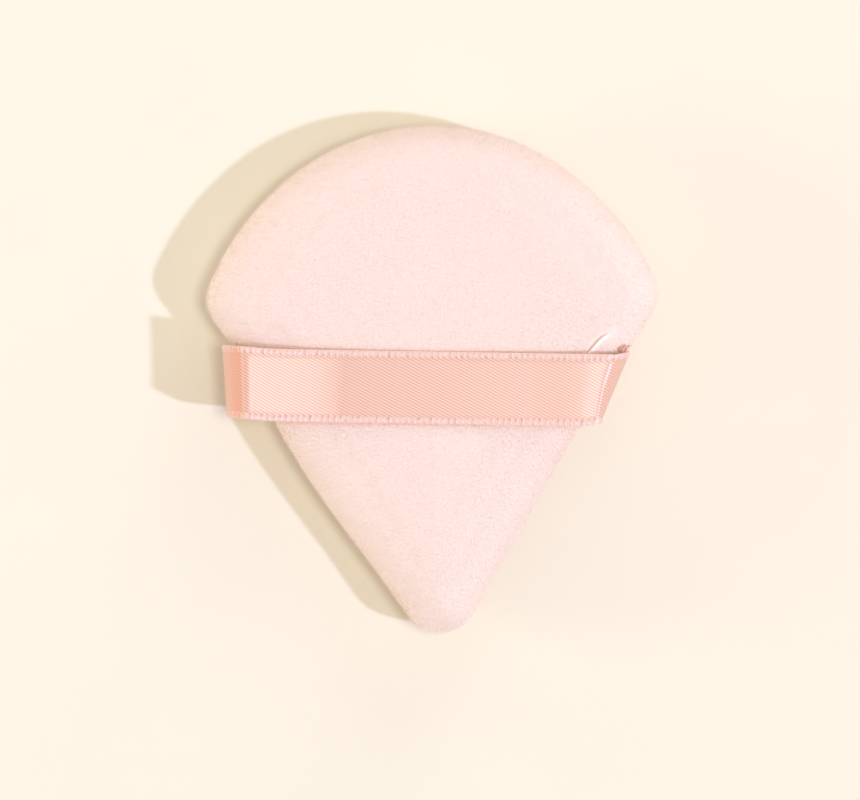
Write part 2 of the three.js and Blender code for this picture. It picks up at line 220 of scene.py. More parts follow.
def smooth_line(points: np.ndarray, count: int) -> np.ndarray:
    """Draws a centripetal Catmull-Rom curve through points and spaces it evenly.

    Args:
        points: the points that it passes through, one row each.
        count: how many points to return.

    Returns:
        Points at even distances along the curve, one row each.
    """
    knots = np.vstack([2 * points[0] - points[1], points, 2 * points[-1] - points[-2]])
    times = np.concatenate([[0], np.cumsum(np.sqrt(np.linalg.norm(np.diff(knots, axis=0), axis=1)))])
    drawn = [points[:1]]
    for i in range(1, len(knots) - 2):
        t = np.linspace(times[i], times[i + 1], CURVE_STEPS)[1:, None]
        t0, t1, t2, t3 = times[i - 1 : i + 3]
        p0, p1, p2, p3 = knots[i - 1 : i + 3]
        a1 = ((t1 - t) * p0 + (t - t0) * p1) / (t1 - t0)
        a2 = ((t2 - t) * p1 + (t - t1) * p2) / (t2 - t1)
        a3 = ((t3 - t) * p2 + (t - t2) * p3) / (t3 - t2)
        b1 = ((t2 - t) * a1 + (t - t0) * a2) / (t2 - t0)
        b2 = ((t3 - t) * a2 + (t - t1) * a3) / (t3 - t1)
        drawn.append(((t2 - t) * b1 + (t - t1) * b2) / (t2 - t1))
    return evenly(np.vstack(drawn), count)


def lay_flat_map(piece: bpy.types.Object, places: np.ndarray) -> None:
    """Gives a mesh the map that textures are baked through, from a flat place for each vertex.

    Args:
        piece: the mesh object.
        places: a place in millimetres for each vertex.
    """
    across = MAP_MARGIN * max(CAD_BOX[1] - CAD_BOX[0]) / MM
    layer = piece.data.uv_layers.new(name=BAKE_MAP)
    corners = np.empty(len(piece.data.loops), np.int32)
    piece.data.loops.foreach_get("vertex_index", corners)
    layer.data.foreach_set("uv", (places[corners] / across + 0.5).astype(np.float32).ravel())


# Finishes


def add_node(
    tree: bpy.types.NodeTree,
    kind: str,
    settings: dict[str | int, object] | None = None,
    links: dict[str | int, bpy.types.NodeSocket] | None = None,
) -> bpy.types.Node:
    """Adds a node with its settings and links.

    Args:
        tree: the node tree.
        kind: Blender's type of node.
        settings: values for the node's properties or, by name or number, for its inputs.
        links: the sockets that feed its inputs, by name or number.

    Returns:
        The new node.
    """
    node = tree.nodes.new(kind)
    for key, value in (settings or {}).items():
        if isinstance(key, str) and hasattr(node, key):
            setattr(node, key, value)
        else:
            node.inputs[key].default_value = value
    for key, socket in (links or {}).items():
        tree.links.new(socket, node.inputs[key])
    return node


@dataclass(frozen=True)
class Finish:
    """What every finish starts from: a named material with one Principled shader."""

    name: str
    colour: str
    roughness: float

    def start(self, **sockets: object) -> tuple[bpy.types.Material, bpy.types.NodeTree, bpy.types.Node]:
        """Makes the material with its shader and output.

        Args:
            **sockets: constant values for the shader's sockets, with _ for a space in the name.

        Returns:
            The material, its node tree and its shader.
        """
        made = bpy.data.materials.new(self.name)
        made.use_nodes = True
        tree = made.node_tree
        tree.nodes.clear()
        values = {"Base Color": linear(self.colour), "Roughness": self.roughness}
        values.update({key.replace("_", " "): value for key, value in sockets.items()})
        shader = add_node(tree, "ShaderNodeBsdfPrincipled", values)
        add_node(tree, "ShaderNodeOutputMaterial", links={"Surface": shader.outputs["BSDF"]})
        return made, tree, shader

    def let_through(
        self, tree: bpy.types.NodeTree, shader: bpy.types.Node, colour: str, share: float
    ) -> None:
        """Lets part of the light through thin cloth or fibre.

        Args:
            tree: the material's node tree.
            shader: its Principled shader.
            colour: the colour of the light that comes through.
            share: how much of the light goes through.
        """
        through = add_node(tree, "ShaderNodeBsdfTranslucent", {"Color": linear(colour)})
        both = add_node(
            tree,
            "ShaderNodeMixShader",
            {0: share},
            {1: shader.outputs["BSDF"], 2: through.outputs["BSDF"]},
        )
        output = next(node for node in tree.nodes if node.type == "OUTPUT_MATERIAL")
        tree.links.new(both.outputs["Shader"], output.inputs["Surface"])


def per_metre(millimetres: float) -> float:
    """Returns a texture scale, in features per metre, for features of that many millimetres."""
    return 1 / (millimetres * MM)


@dataclass(frozen=True)
class Velour(Finish):
    """What pile and ground share: a soft sheen, and a painted warm glow of light bounced off the satin beside
    the strap.

    Sizes are in millimetres.
    """

    sheen: float = 1.0
    sheen_roughness: float = 0.35
    gloss: float = 0.2
    # Painted warm glow of light bounced off the satin beside the strap: its colour, strength and reach
    strap_glow: str = "#FFD9C4"
    strap_glow_share: float = 0.75
    strap_glow_reach: float = 0.75
    front_heights: tuple[float, float] = (8.0, 10.0)

    def start_cloth(self) -> tuple[bpy.types.Material, bpy.types.NodeTree, bpy.types.Node]:
        """Returns a new material with velour's sheen, its node tree and its shader."""
        return self.start(
            Sheen_Weight=self.sheen, Sheen_Roughness=self.sheen_roughness, Specular_IOR_Level=self.gloss
        )

    def paint_strap_glow(
        self, tree: bpy.types.NodeTree, place: bpy.types.NodeSocket, tone: bpy.types.NodeSocket
    ) -> bpy.types.NodeSocket:
        """Paints a warm glow of light bounced off the satin on to a colour along the strap's two edges, on
        the front only.

        Args:
            tree: the material's node tree.
            place: the place on the object, in metres.
            tone: the colour to paint the glow on.

        Returns:
            The colour with the painted glow.
        """
        across_axis = (-math.sin(STRAP_LEAN) / MM, math.cos(STRAP_LEAN) / MM, 0.0)
        across = add_node(
            tree, "ShaderNodeVectorMath", {"operation": "DOT_PRODUCT", 1: across_axis}, {0: place}
        )
        centred = add_node(
            tree, "ShaderNodeMath", {"operation": "SUBTRACT", 1: STRAP_OFFSET}, {0: across.outputs["Value"]}
        )
        side = add_node(tree, "ShaderNodeMath", {"operation": "ABSOLUTE"}, {0: centred.outputs[0]})
        edge = STRAP_WIDTH / 2
        near = add_node(
            tree,
            "ShaderNodeMapRange",
            {"From Min": edge + self.strap_glow_reach, "From Max": edge, "To Max": self.strap_glow_share},
            {"Value": side.outputs[0]},
        )
        height = add_node(tree, "ShaderNodeSeparateXYZ", links={"Vector": place}).outputs["Z"]
        low, high = self.front_heights
        front = add_node(
            tree, "ShaderNodeMapRange", {"From Min": low * MM, "From Max": high * MM}, {"Value": height}
        )
        share = add_node(
            tree, "ShaderNodeMath", {"operation": "MULTIPLY"}, {0: near.outputs[0], 1: front.outputs[0]}
        )
        with_strap_glow = add_node(
            tree, "ShaderNodeMix", {"data_type": "RGBA", 7: linear(self.strap_glow)}, {0: share.outputs[0], 6: tone}
        )
        return with_strap_glow.outputs[2]


@dataclass(frozen=True)
class VelourPile(Velour):
    """Cut polyester pile: matt tips with a soft sheen, in faint blotches of two close tones."""

    shade: str = "#F9E6D9"
    blotch: float = 9.0
    tuft: float = 0.9
    tuft_share: float = 0.45
    tone_stops: tuple[float, float] = (0.36, 0.6)

    def material(self) -> bpy.types.Material:
        """Returns the pile's material: two close tones, mixed by brushed blotches and by tufts."""
        made, tree, shader = self.start_cloth()
        place = add_node(tree, "ShaderNodeTexCoord").outputs["Object"]
        broad = add_node(
            tree, "ShaderNodeTexNoise", {"Scale": per_metre(self.blotch), "Detail": 3.0}, {"Vector": place}
        )
        fine = add_node(
            tree, "ShaderNodeTexNoise", {"Scale": per_metre(self.tuft), "Detail": 2.0}, {"Vector": place}
        )
        both = add_node(
            tree,
            "ShaderNodeMix",
            {"data_type": "FLOAT", 0: self.tuft_share},
            {2: broad.outputs["Fac"], 3: fine.outputs["Fac"]},
        )
        ramp = add_node(tree, "ShaderNodeValToRGB", links={"Fac": both.outputs[0]})
        for stop, position, tone in zip(ramp.color_ramp.elements, self.tone_stops, (self.shade, self.colour)):
            stop.position = position
            stop.color = linear(tone)
        # Paints the warm glow of light bounced off the satin beside the strap
        with_strap_glow = self.paint_strap_glow(tree, place, ramp.outputs["Color"])
        tree.links.new(with_strap_glow, shader.inputs["Base Color"])
        return made


@dataclass(frozen=True)
class VelourGround(Velour):
    """Knitted ground of the velour, seen between the locks and along the tuck: warm, with a fine knit, a
    painted highlight on the tuck's lip and a painted shadow in its crease.
    """

    shade: str = "#F7E3D8"
    knit: float = 0.45
    knit_depth: float = 0.12
    knit_bump: float = 0.4
    # Painted highlight on the tuck's lip and painted shadow in its crease
    lip_highlight_colour: str = "#FFFBF0"
    crease_shadow_colour: str = "#EBC6A6"

    def material(self) -> bpy.types.Material:
        """Returns the ground's material, with the knit's stitches as bump and tone, and the tuck's painted
        highlight and shadow.
        """
        made, tree, shader = self.start_cloth()
        place = add_node(tree, "ShaderNodeTexCoord").outputs["Object"]
        stitches = add_node(
            tree, "ShaderNodeTexVoronoi", {"Scale": per_metre(self.knit)}, {"Vector": place}
        )
        ramp = add_node(tree, "ShaderNodeValToRGB", links={"Fac": stitches.outputs["Distance"]})
        ramp.color_ramp.elements[0].color = linear(self.colour)
        ramp.color_ramp.elements[1].color = linear(self.shade)
        # Paints the warm glow of light bounced off the satin beside the strap
        with_strap_glow = self.paint_strap_glow(tree, place, ramp.outputs["Color"])
        # Paints the tuck: a highlight on its lip where the attribute is above 0, a shadow in its crease below
        # 0
        lip = add_node(tree, "ShaderNodeAttribute", {"attribute_name": "lip"}).outputs["Fac"]
        tone = add_node(
            tree, "ShaderNodeMix", {"data_type": "RGBA", 7: linear(self.lip_highlight_colour)}, {0: lip, 6: with_strap_glow}
        )
        shadowed = add_node(tree, "ShaderNodeMath", {"operation": "MULTIPLY", 1: -1.0}, {0: lip})
        crease_shaded = add_node(
            tree,
            "ShaderNodeMix",
            {"data_type": "RGBA", 7: linear(self.crease_shadow_colour)},
            {0: shadowed.outputs[0], 6: tone.outputs[2]},
        )
        tree.links.new(crease_shaded.outputs[2], shader.inputs["Base Color"])
        bump = add_node(
            tree,
            "ShaderNodeBump",
            {"Strength": self.knit_bump, "Distance": self.knit_depth * MM, "invert": True},
            {"Height": stitches.outputs["Distance"]},
        )
        tree.links.new(bump.outputs["Normal"], shader.inputs["Normal"])
        return made


@dataclass(frozen=True)
class SatinWeave(Finish):
    """Polyester satin ribbon: shiny floats between thin slanted lines, and edges like rows of beads.

    It is drawn on the attribute "weave": the place along and across the flat ribbon, in millimetres, and how
    far the ribbon is turned down at its left fold, where painted shade deepens its colour and it is rougher.
    """

    gloss: float = 0.95
    sheen: float = 0.1
    sheen_roughness: float = 0.35
    line_colour: str = "#D99F87"
    edge_colour: str = "#FFDFD0"
    gap_colour: str = "#E2AF98"
    # Painted shade that the turned-down left fold is multiplied by
    fold_shade_colour: str = "#FFECE4"
    # Real floats lie about a tenth of a millimetre apart; the lines are drawn as coarse as they need to show
    pitch: float = 0.44
    slant: float = 27.0
    line_wander: float = 0.2
    line_waves: tuple[float, float] = (-1.0, -0.3)
    float_depth: float = 0.05
    float_bump: float = 0.15
    matt_roughness: float = 0.37
    fold_roughness: float = 0.75
    half_width: float = STRAP_WIDTH / 2
    selvedge: float = 0.85
    selvedge_blur: tuple[float, float] = (-0.05, 0.1)
    bead_pitch: float = 0.84
    bead_wander: float = 0.7
    gap_waves: tuple[float, float] = (-0.1, -1.0)
    gap_length: float = 0.5
    gap_tones: tuple[float, float] = (0.35, 0.65)
    palest_gap: float = 0.25
    wobbles_per_mm: float = 1.3
    glow_colour: str = "#FFB48C"
    glow: float = 0.16

    def material(self) -> bpy.types.Material:
        """Returns the ribbon's material."""
        made, tree, shader = self.start(
            Specular_IOR_Level=self.gloss, Sheen_Weight=self.sheen, Sheen_Roughness=self.sheen_roughness
        )
        self.let_through(tree, shader, self.glow_colour, self.glow)
        flat = add_node(tree, "ShaderNodeAttribute", {"attribute_name": "weave"}).outputs["Vector"]
        wobble = add_node(
            tree, "ShaderNodeTexNoise", {"Scale": self.wobbles_per_mm, "Detail": 2.0}, {"Vector": flat}
        ).outputs["Fac"]
        along, across, turned = add_node(tree, "ShaderNodeSeparateXYZ", links={"Vector": flat}).outputs
        floats = self.draw_floats(tree, along, across, wobble)
        tone = add_node(
            tree,
            "ShaderNodeMix",
            {"data_type": "RGBA", 6: linear(self.line_colour), 7: linear(self.colour)},
            {0: floats},
        )
        side = add_node(tree, "ShaderNodeMath", {"operation": "ABSOLUTE"}, {0: across}).outputs[0]
        inner_edge = self.half_width - self.selvedge
        edge = add_node(
            tree,
            "ShaderNodeMapRange",
            {"From Min": inner_edge + self.selvedge_blur[0], "From Max": inner_edge + self.selvedge_blur[1]},
            {"Value": side},
        ).outputs["Result"]
        level = add_node(
            tree,
            "ShaderNodeMix",
            {"data_type": "RGBA"},
            {0: edge, 6: tone.outputs[2], 7: self.draw_beads(tree, along, side, wobble)},
        )
        # Painted shade: the turned-down left fold is multiplied towards a deeper colour
        cloth = add_node(
            tree,
            "ShaderNodeMix",
            {"data_type": "RGBA", "blend_type": "MULTIPLY", 7: linear(self.fold_shade_colour)},
            {0: turned, 6: level.outputs[2]},
        )
        tree.links.new(cloth.outputs[2], shader.inputs["Base Color"])
        inner = add_node(tree, "ShaderNodeMath", {"operation": "SUBTRACT", 0: 1.0}, {1: edge})
        shiny = add_node(
            tree, "ShaderNodeMath", {"operation": "MULTIPLY"}, {0: floats, 1: inner.outputs[0]}
        )
        rough = add_node(
            tree,
            "ShaderNodeMapRange",
            {"To Min": self.matt_roughness, "To Max": self.roughness},
            {"Value": shiny.outputs[0]},
        )
        duller = add_node(
            tree,
            "ShaderNodeMix",
            {"data_type": "FLOAT", 3: self.fold_roughness},
            {0: turned, 2: rough.outputs["Result"]},
        )
        tree.links.new(duller.outputs[0], shader.inputs["Roughness"])
        bump = add_node(
            tree,
            "ShaderNodeBump",
            {"Strength": self.float_bump, "Distance": self.float_depth * MM},
            {"Height": shiny.outputs[0]},
        )
        tree.links.new(bump.outputs["Normal"], shader.inputs["Normal"])
        return made

    def draw_floats(
        self,
        tree: bpy.types.NodeTree,
        along: bpy.types.NodeSocket,
        across: bpy.types.NodeSocket,
        wobble: bpy.types.NodeSocket,
    ) -> bpy.types.NodeSocket:
        """Draws the shiny floats between thin slanted lines that wander a little.

        Args:
            tree: the material's node tree.
            along: the place along the ribbon.
            across: the place across it.
            wobble: a soft noise.

        Returns:
            A value that is 0 on a line and 1 on the floats.
        """
        slope = math.tan(math.radians(self.slant))
        drop = add_node(
            tree, "ShaderNodeMath", {"operation": "MULTIPLY_ADD", 1: slope}, {0: along, 2: across}
        )
        wavy = add_node(
            tree,
            "ShaderNodeMath",
            {"operation": "MULTIPLY_ADD", 1: self.line_wander * self.pitch},
            {0: wobble, 2: drop.outputs[0]},
        )
        turns = add_node(
            tree,
            "ShaderNodeMath",
            {"operation": "MULTIPLY", 1: 2 * math.pi / self.pitch},
            {0: wavy.outputs[0]},
        )
        wave = add_node(tree, "ShaderNodeMath", {"operation": "SINE"}, {0: turns.outputs[0]})
        low, high = self.line_waves
        floats = add_node(
            tree, "ShaderNodeMapRange", {"From Min": low, "From Max": high}, {"Value": wave.outputs[0]}
        )
        return floats.outputs["Result"]

    def draw_beads(
        self,
        tree: bpy.types.NodeTree,
        along: bpy.types.NodeSocket,
        side: bpy.types.NodeSocket,
        wobble: bpy.types.NodeSocket,
    ) -> bpy.types.NodeSocket:
        """Draws the edge's beads, with uneven gaps between them that fade towards the rim.

        Args:
            tree: the material's node tree.
            along: the place along the ribbon.
            side: the distance from the ribbon's middle line.
            wobble: a soft noise.

        Returns:
            The edge's colour.
        """
        slid = add_node(
            tree,
            "ShaderNodeMath",
            {"operation": "MULTIPLY_ADD", 1: self.bead_wander * self.bead_pitch},
            {0: wobble, 2: along},
        )
        count = add_node(
            tree,
            "ShaderNodeMath",
            {"operation": "MULTIPLY", 1: 2 * math.pi / self.bead_pitch},
            {0: slid.outputs[0]},
        )
        swing = add_node(tree, "ShaderNodeMath", {"operation": "SINE"}, {0: count.outputs[0]})
        low, high = self.gap_waves
        gap = add_node(
            tree, "ShaderNodeMapRange", {"From Min": low, "From Max": high}, {"Value": swing.outputs[0]}
        )
        inside = add_node(
            tree,
            "ShaderNodeMapRange",
            {
                "From Min": self.half_width,
                "From Max": self.half_width - self.gap_length * self.selvedge,
                "To Min": self.palest_gap,
            },
            {"Value": side},
        )
        low, high = self.gap_tones
        uneven = add_node(
            tree,
            "ShaderNodeMapRange",
            {"From Min": low, "From Max": high, "To Min": self.palest_gap},
            {"Value": wobble},
        )
        cut = add_node(
            tree, "ShaderNodeMath", {"operation": "MULTIPLY"}, {0: gap.outputs[0], 1: inside.outputs[0]}
        )
        dash = add_node(
            tree, "ShaderNodeMath", {"operation": "MULTIPLY"}, {0: cut.outputs[0], 1: uneven.outputs[0]}
        )
        rim = add_node(
            tree,
            "ShaderNodeMix",
            {"data_type": "RGBA", 6: linear(self.edge_colour), 7: linear(self.gap_colour)},
            {0: dash.outputs[0]},
        )
        return rim.outputs[2]


@dataclass(frozen=True)
class SpunThread(Finish):
    """Spun polyester sewing thread: a soft shine, with the twist of its plies as slanted bands."""

    shade: str = "#DE9E82"
    ply: float = 0.35
    ply_depth: float = 0.05
    ply_bump: float = 0.4
    unevenness: float = 1.5

    def material(self) -> bpy.types.Material:
        """Returns the thread's material, with its plies as tone and bump."""
        made, tree, shader = self.start(Sheen_Weight=0.2, Sheen_Roughness=0.4)
        place = add_node(tree, "ShaderNodeTexCoord").outputs["Object"]
        plies = add_node(
            tree,
            "ShaderNodeTexWave",
            {
                "Scale": per_metre(self.ply) / DIAGONAL_WAVES,
                "Distortion": self.unevenness,
                "bands_direction": "DIAGONAL",
            },
            {"Vector": place},
        )
        tone = add_node(
            tree,
            "ShaderNodeMix",
            {"data_type": "RGBA", 6: linear(self.shade), 7: linear(self.colour)},
            {0: plies.outputs["Fac"]},
        )
        tree.links.new(tone.outputs[2], shader.inputs["Base Color"])
        bump = add_node(
            tree,
            "ShaderNodeBump",
            {"Strength": self.ply_bump, "Distance": self.ply_depth * MM},
            {"Height": plies.outputs["Fac"]},
        )
        tree.links.new(bump.outputs["Normal"], shader.inputs["Normal"])
        return made


@dataclass(frozen=True)
class OpenCellFoam(Finish):
    """Soft polyurethane foam: matt, with open cells whose small pits are darkened by painted shade."""

    gloss: float = 0.2
    # Painted shade in the pits of the cells
    pit_shade: str = "#CFC3AC"
    cell: float = 0.6
    pit_depth: float = 0.2
    pit_bump: float = 0.6

    def material(self) -> bpy.types.Material:
        """Returns the foam's material, with painted shade in its cells' pits, and the cells as bump."""
        made, tree, shader = self.start(Specular_IOR_Level=self.gloss)
        place = add_node(tree, "ShaderNodeTexCoord").outputs["Object"]
        cells = add_node(tree, "ShaderNodeTexVoronoi", {"Scale": per_metre(self.cell)}, {"Vector": place})
        tone = add_node(
            tree,
            "ShaderNodeMix",
            {"data_type": "RGBA", 6: linear(self.pit_shade), 7: linear(self.colour)},
            {0: cells.outputs["Distance"]},
        )
        tree.links.new(tone.outputs[2], shader.inputs["Base Color"])
        bump = add_node(
            tree,
            "ShaderNodeBump",
            {"Strength": self.pit_bump, "Distance": self.pit_depth * MM},
            {"Height": cells.outputs["Distance"]},
        )
        tree.links.new(bump.outputs["Normal"], shader.inputs["Normal"])
        return made


@dataclass(frozen=True)
class MattPaper(Finish):
    """Plain cream paper for the floor: matt, with a faint mottle."""

    mottle: str = "#F3EAD5"
    blotch: float = 30.0

    def material(self) -> bpy.types.Material:
        """Returns the floor's material."""
        made, tree, shader = self.start(Specular_IOR_Level=0.0)
        place = add_node(tree, "ShaderNodeTexCoord").outputs["Object"]
        broad = add_node(
            tree, "ShaderNodeTexNoise", {"Scale": per_metre(self.blotch), "Detail": 3.0}, {"Vector": place}
        )
        tone = add_node(
            tree,
            "ShaderNodeMix",
            {"data_type": "RGBA", 6: linear(self.mottle), 7: linear(self.colour)},
            {0: broad.outputs["Fac"]},
        )
        tree.links.new(tone.outputs[2], shader.inputs["Base Color"])
        return made


# Cut and brushed fibre ends: matt and soft, with a pale rim of sheen and faint blotches
PILE = VelourPile("velour_cut_pile", "#FBEDE2", 0.85)
# A fine knit under the pile: a dull warm depth between the locks, bare along the tuck, with a painted
# highlight on the tuck's lip and a painted shadow in its crease
GROUND = VelourGround("velour_knitted_ground", "#FBEBE0", 0.9)
# Long smooth floats on one face: a broad soft shine, broken by fine slanted lines
SATIN = SatinWeave("polyester_satin_ribbon", "#FDD0B8", 0.32)
# Short fibres spun and plied: a dull thread with slanted bands
THREAD = SpunThread("spun_polyester_thread", "#F4BFA6", 0.55)
# Blown open cells: dull, with painted shade in small pits
FOAM = OpenCellFoam("open_cell_foam", "#F3EAD8", 0.95)
# Uncoated paper: matt all over, with a faint mottle
PAPER = MattPaper("matt_cream_paper", "#F7EFDA", 0.95)


# The padded cover


@dataclass
class Skin:
    """The outer surface of one cover, kept before the cloth gets its thickness, in millimetres."""

    points: np.ndarray
    normals: np.ndarray
    triangles: np.ndarray

    @classmethod
    def of(cls, piece: bpy.types.Object) -> "Skin":
        """Reads the surface of a mesh.

        Args:
            piece: an open or closed mesh whose faces all point outwards.

        Returns:
            Its points, vertex normals and triangles.
        """
        piece.data.calc_loop_triangles()
        flat = np.empty(len(piece.data.loop_triangles) * 3, np.int32)
        piece.data.loop_triangles.foreach_get("vertices", flat)
        return cls(points_of(piece), normals_of(piece), flat.reshape(-1, 3))

    def scatter(self, count: int, rng: np.random.Generator) -> tuple[np.ndarray, np.ndarray]:
        """Spreads points over the surface, as evenly as the rows of a knit carry their pile.

        Args:
            count: how many points.
            rng: the seeded source of random numbers.

        Returns:
            The points and the surface's normal at each.
        """
        a, b, c = (self.points[self.triangles[:, k]] for k in range(3))
        area = np.linalg.norm(np.cross(b - a, c - a), axis=1)
        ticks = (np.arange(count) + rng.random()) / count
        reached = np.searchsorted(np.cumsum(area) / area.sum(), ticks)
        chosen = self.triangles[np.minimum(reached, len(area) - 1)]
        steps = (np.arange(count)[:, None] * SPREAD_STEPS + rng.random(2)) % 1
        first, second = np.sqrt(steps[:, :1]), steps[:, 1:]
        shares = (1 - first, first * (1 - second), first * second)
        roots = sum(share * self.points[chosen[:, k]] for k, share in enumerate(shares))
        normals = sum(share * self.normals[chosen[:, k]] for k, share in enumerate(shares))
        return roots, normals / np.linalg.norm(normals, axis=1, keepdims=True)


@dataclass
class PuffCover:
    """The velour cover round the foam: two shells that meet in the seam's groove, swollen as cloth.

    Sizes are in millimetres. The shells lie the pile's height inside the CAD surface, so that the tips of the
    pile reach it.
    """

    pile_height: float = 0.35
    pile_spread: float = 0.25
    cloth: float = 0.7
    weld: float = 0.01
    voxel: float = 1.1
    round_passes: int = 12
    ease_passes: int = 3
    crease_angle: float = 60.0
    sim_scale: float = 10.0
    sim_frames: int = 20
    sim_quality: int = 6
    sim_mass: float = 0.03
    pressure: float = 4.0
    most_swell: float = 0.9
    seam_height: float = SEAM_HEIGHT
    seam_loops: tuple[float, ...] = (-1.1, -0.6, -0.25, 0.0, 0.25, 0.6, 1.1)
    groove_depth: float = 0.55
    groove_width: float = 0.4
    # The ends of a straight side, and how far each side draws in between them; the left one swells out
    side_top: tuple[float, float] = (30.8, 8.6)
    side_foot: tuple[float, float] = (4.8, -33.4)
    left_draw: float = -1.15
    right_draw: float = 0.55
    side_reach: float = 12.0
    # How far the rounded edge stands out, where that starts, and where top gives way to side, as shares of x
    left_crown: float = 0.8
    right_crown: float = 0.5
    top_crown: float = 0.3
    crown_rise: tuple[float, float] = (5.0, 13.0)
    crown_shoulder: tuple[float, float] = (0.1, 0.9)
    pull_place: tuple[float, float] = (27.4, 3.6)
    pull_height: float = 2.2
    pull_width: float = 4.0
    pull_shoulder: float = 0.32
    # The tuck's route in plan, the shares of it that are its ends, and its section from lip to dip
    tuck: tuple[tuple[float, float], ...] = ((21.0, 3.0), (22.2, 4.5), (23.6, 5.8), (24.9, 6.4))
    tuck_points: int = 80
    tuck_reach: float = 2.2
    tuck_cuts: int = 5
    tuck_ends: tuple[float, float] = (0.1, 0.6)
    tuck_lift: float = 0.5
    tuck_edge: float = 0.1
    tuck_crispness: float = 0.6
    tuck_crest: float = 0.25
    tuck_fade: float = 2.2
    tuck_dip: float = 0.12
    tuck_dip_width: float = 0.3
    # Where the painted highlight on the lip lies, and how far the painted shadow in the crease reaches
    lip_start: tuple[float, float] = (0.02, 0.08)
    lip_end: tuple[float, float] = (0.52, 0.4)
    crease: tuple[float, float] = (0.24, 0.08)
    skins: dict[Side, Skin] = field(default_factory=dict)
    hull: BVHTree | None = None

    def build(self) -> dict[Side, bpy.types.Object]:
        """Makes the two covers and keeps their skins.

        Returns:
            The front and the back cover.
        """
        form = self.closed_form()
        self.swell(form)
        self.fit(form)
        self.draw_in_sides(form)
        self.swell_crown(form)
        self.press_groove(form)
        covers = {side: self.shell(form, side) for side in Side}
        bpy.data.meshes.remove(form.data)
        return covers

    def closed_form(self) -> bpy.types.Object:
        """Wraps copies of the two CAD panels in one closed form, remeshed evenly and rounded.

        Returns:
            The form, larger than life by the simulation's scale.
        """
        bpy.ops.object.select_all(action="DESELECT")
        for node in ("front_panel", "back_panel"):
            copy = bpy.data.objects.new("cover_form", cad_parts[node].data.copy())
            copy.data.materials.clear()
            copy.data.transform(Matrix.Scale(self.sim_scale, 4))
            bpy.context.collection.objects.link(copy)
            copy.select_set(True)
            bpy.context.view_layer.objects.active = copy
        bpy.ops.object.join()
        form = bpy.context.view_layer.objects.active
        with editing(form):
            bpy.ops.mesh.remove_doubles(threshold=self.weld * MM * self.sim_scale)
            bpy.ops.mesh.convex_hull()
        corners = [point.co / self.sim_scale for point in form.data.vertices]
        self.hull = BVHTree.FromPolygons(corners, [face.vertices for face in form.data.polygons])
        form.data.remesh_voxel_size = self.voxel * MM * self.sim_scale
        pick(form)
        bpy.ops.object.voxel_remesh()
        apply_modifier(form, "Round", "SMOOTH", factor=0.5, iterations=self.round_passes)
        return form

    def swell(self, form: bpy.types.Object) -> None:
        """Blows the form up with Cloth, holding the seam, and caps how far each point moves.

        Args:
            form: the closed form at the simulation's scale.
        """
        before = points_of(form)
        seam = np.abs(before[:, 2] / self.sim_scale - self.seam_height) < self.voxel
        held = form.vertex_groups.new(name="seam")
        held.add(np.flatnonzero(seam).tolist(), 1.0, "REPLACE")
        cloth = form.modifiers.new("Swell", "CLOTH")
        cloth.settings.quality = self.sim_quality
        cloth.settings.mass = self.sim_mass
        cloth.settings.use_pressure = True
        cloth.settings.uniform_pressure_force = self.pressure
        cloth.settings.vertex_group_mass = held.name
        cloth.settings.effector_weights.gravity = 0.0
        cloth.point_cache.frame_start = 1
        cloth.point_cache.frame_end = self.sim_frames
        scene = bpy.context.scene
        for number in range(1, self.sim_frames + 1):
            scene.frame_set(number)
        pick(form)
        bpy.ops.object.modifier_apply(modifier="Swell")
        scene.frame_set(1)
        moved = points_of(form) - before
        reach = np.linalg.norm(moved, axis=1, keepdims=True)
        cap = self.most_swell * self.sim_scale
        move_points(form, before + moved * np.minimum(1, cap / np.maximum(reach, 1e-9)))
        LOG.info("cover swelled by %.2f mm at most before the cap", reach.max() / self.sim_scale)

    def fit(self, form: bpy.types.Object) -> None:
        """Brings the form back to life size, smooth, just inside the box of the CAD panels.

        Args:
            form: the swollen form at the simulation's scale.
        """
        form.data.transform(Matrix.Scale(1 / self.sim_scale, 4))
        form.vertex_groups.clear()
        apply_modifier(form, "Smooth", "SUBSURF", levels=1, render_levels=1)
        low = np.array(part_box("back_panel")[0]) / MM + self.pile_height
        high = np.array(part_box("front_panel")[1]) / MM - self.pile_height
        points = points_of(form)
        share = (points - points.min(0)) / (points.max(0) - points.min(0))
        points = low + share * (high - low)
        for point in points:
            nearest, facing, _, _ = self.hull.find_nearest(Vector(point * MM))
            depth = (nearest - Vector(point * MM)).dot(facing) / MM
            wanted = min(max(depth, self.pile_height), self.pile_height + self.pile_spread)
            point += (depth - wanted) * np.array(facing)
        move_points(form, points)
        apply_modifier(form, "Ease", "SMOOTH", factor=0.5, iterations=self.ease_passes)

    def draw_in_sides(self, form: bpy.types.Object) -> None:
        """Pulls the right straight side in between the corner and the tip, and lets the left one swell out.

        Args:
            form: the closed form at life size.
        """
        points = points_of(form)
        top, foot = np.array(self.side_top), np.array(self.side_foot)
        line = foot - top
        mirrored = np.stack([np.abs(points[:, 0]), points[:, 1]], axis=1) - top
        along = mirrored @ line / (line @ line)
        outward = np.array([-line[1], line[0]]) / np.linalg.norm(line)
        depth = -(mirrored @ outward)
        draw = np.where(points[:, 0] < 0, self.left_draw, self.right_draw)
        pull = draw * np.sin(math.pi * np.clip(along, 0, 1)) ** 2 * ease(depth, self.side_reach, 0)
        points[:, 0] -= np.sign(points[:, 0]) * pull * outward[0]
        points[:, 1] -= pull * outward[1]
        move_points(form, points)

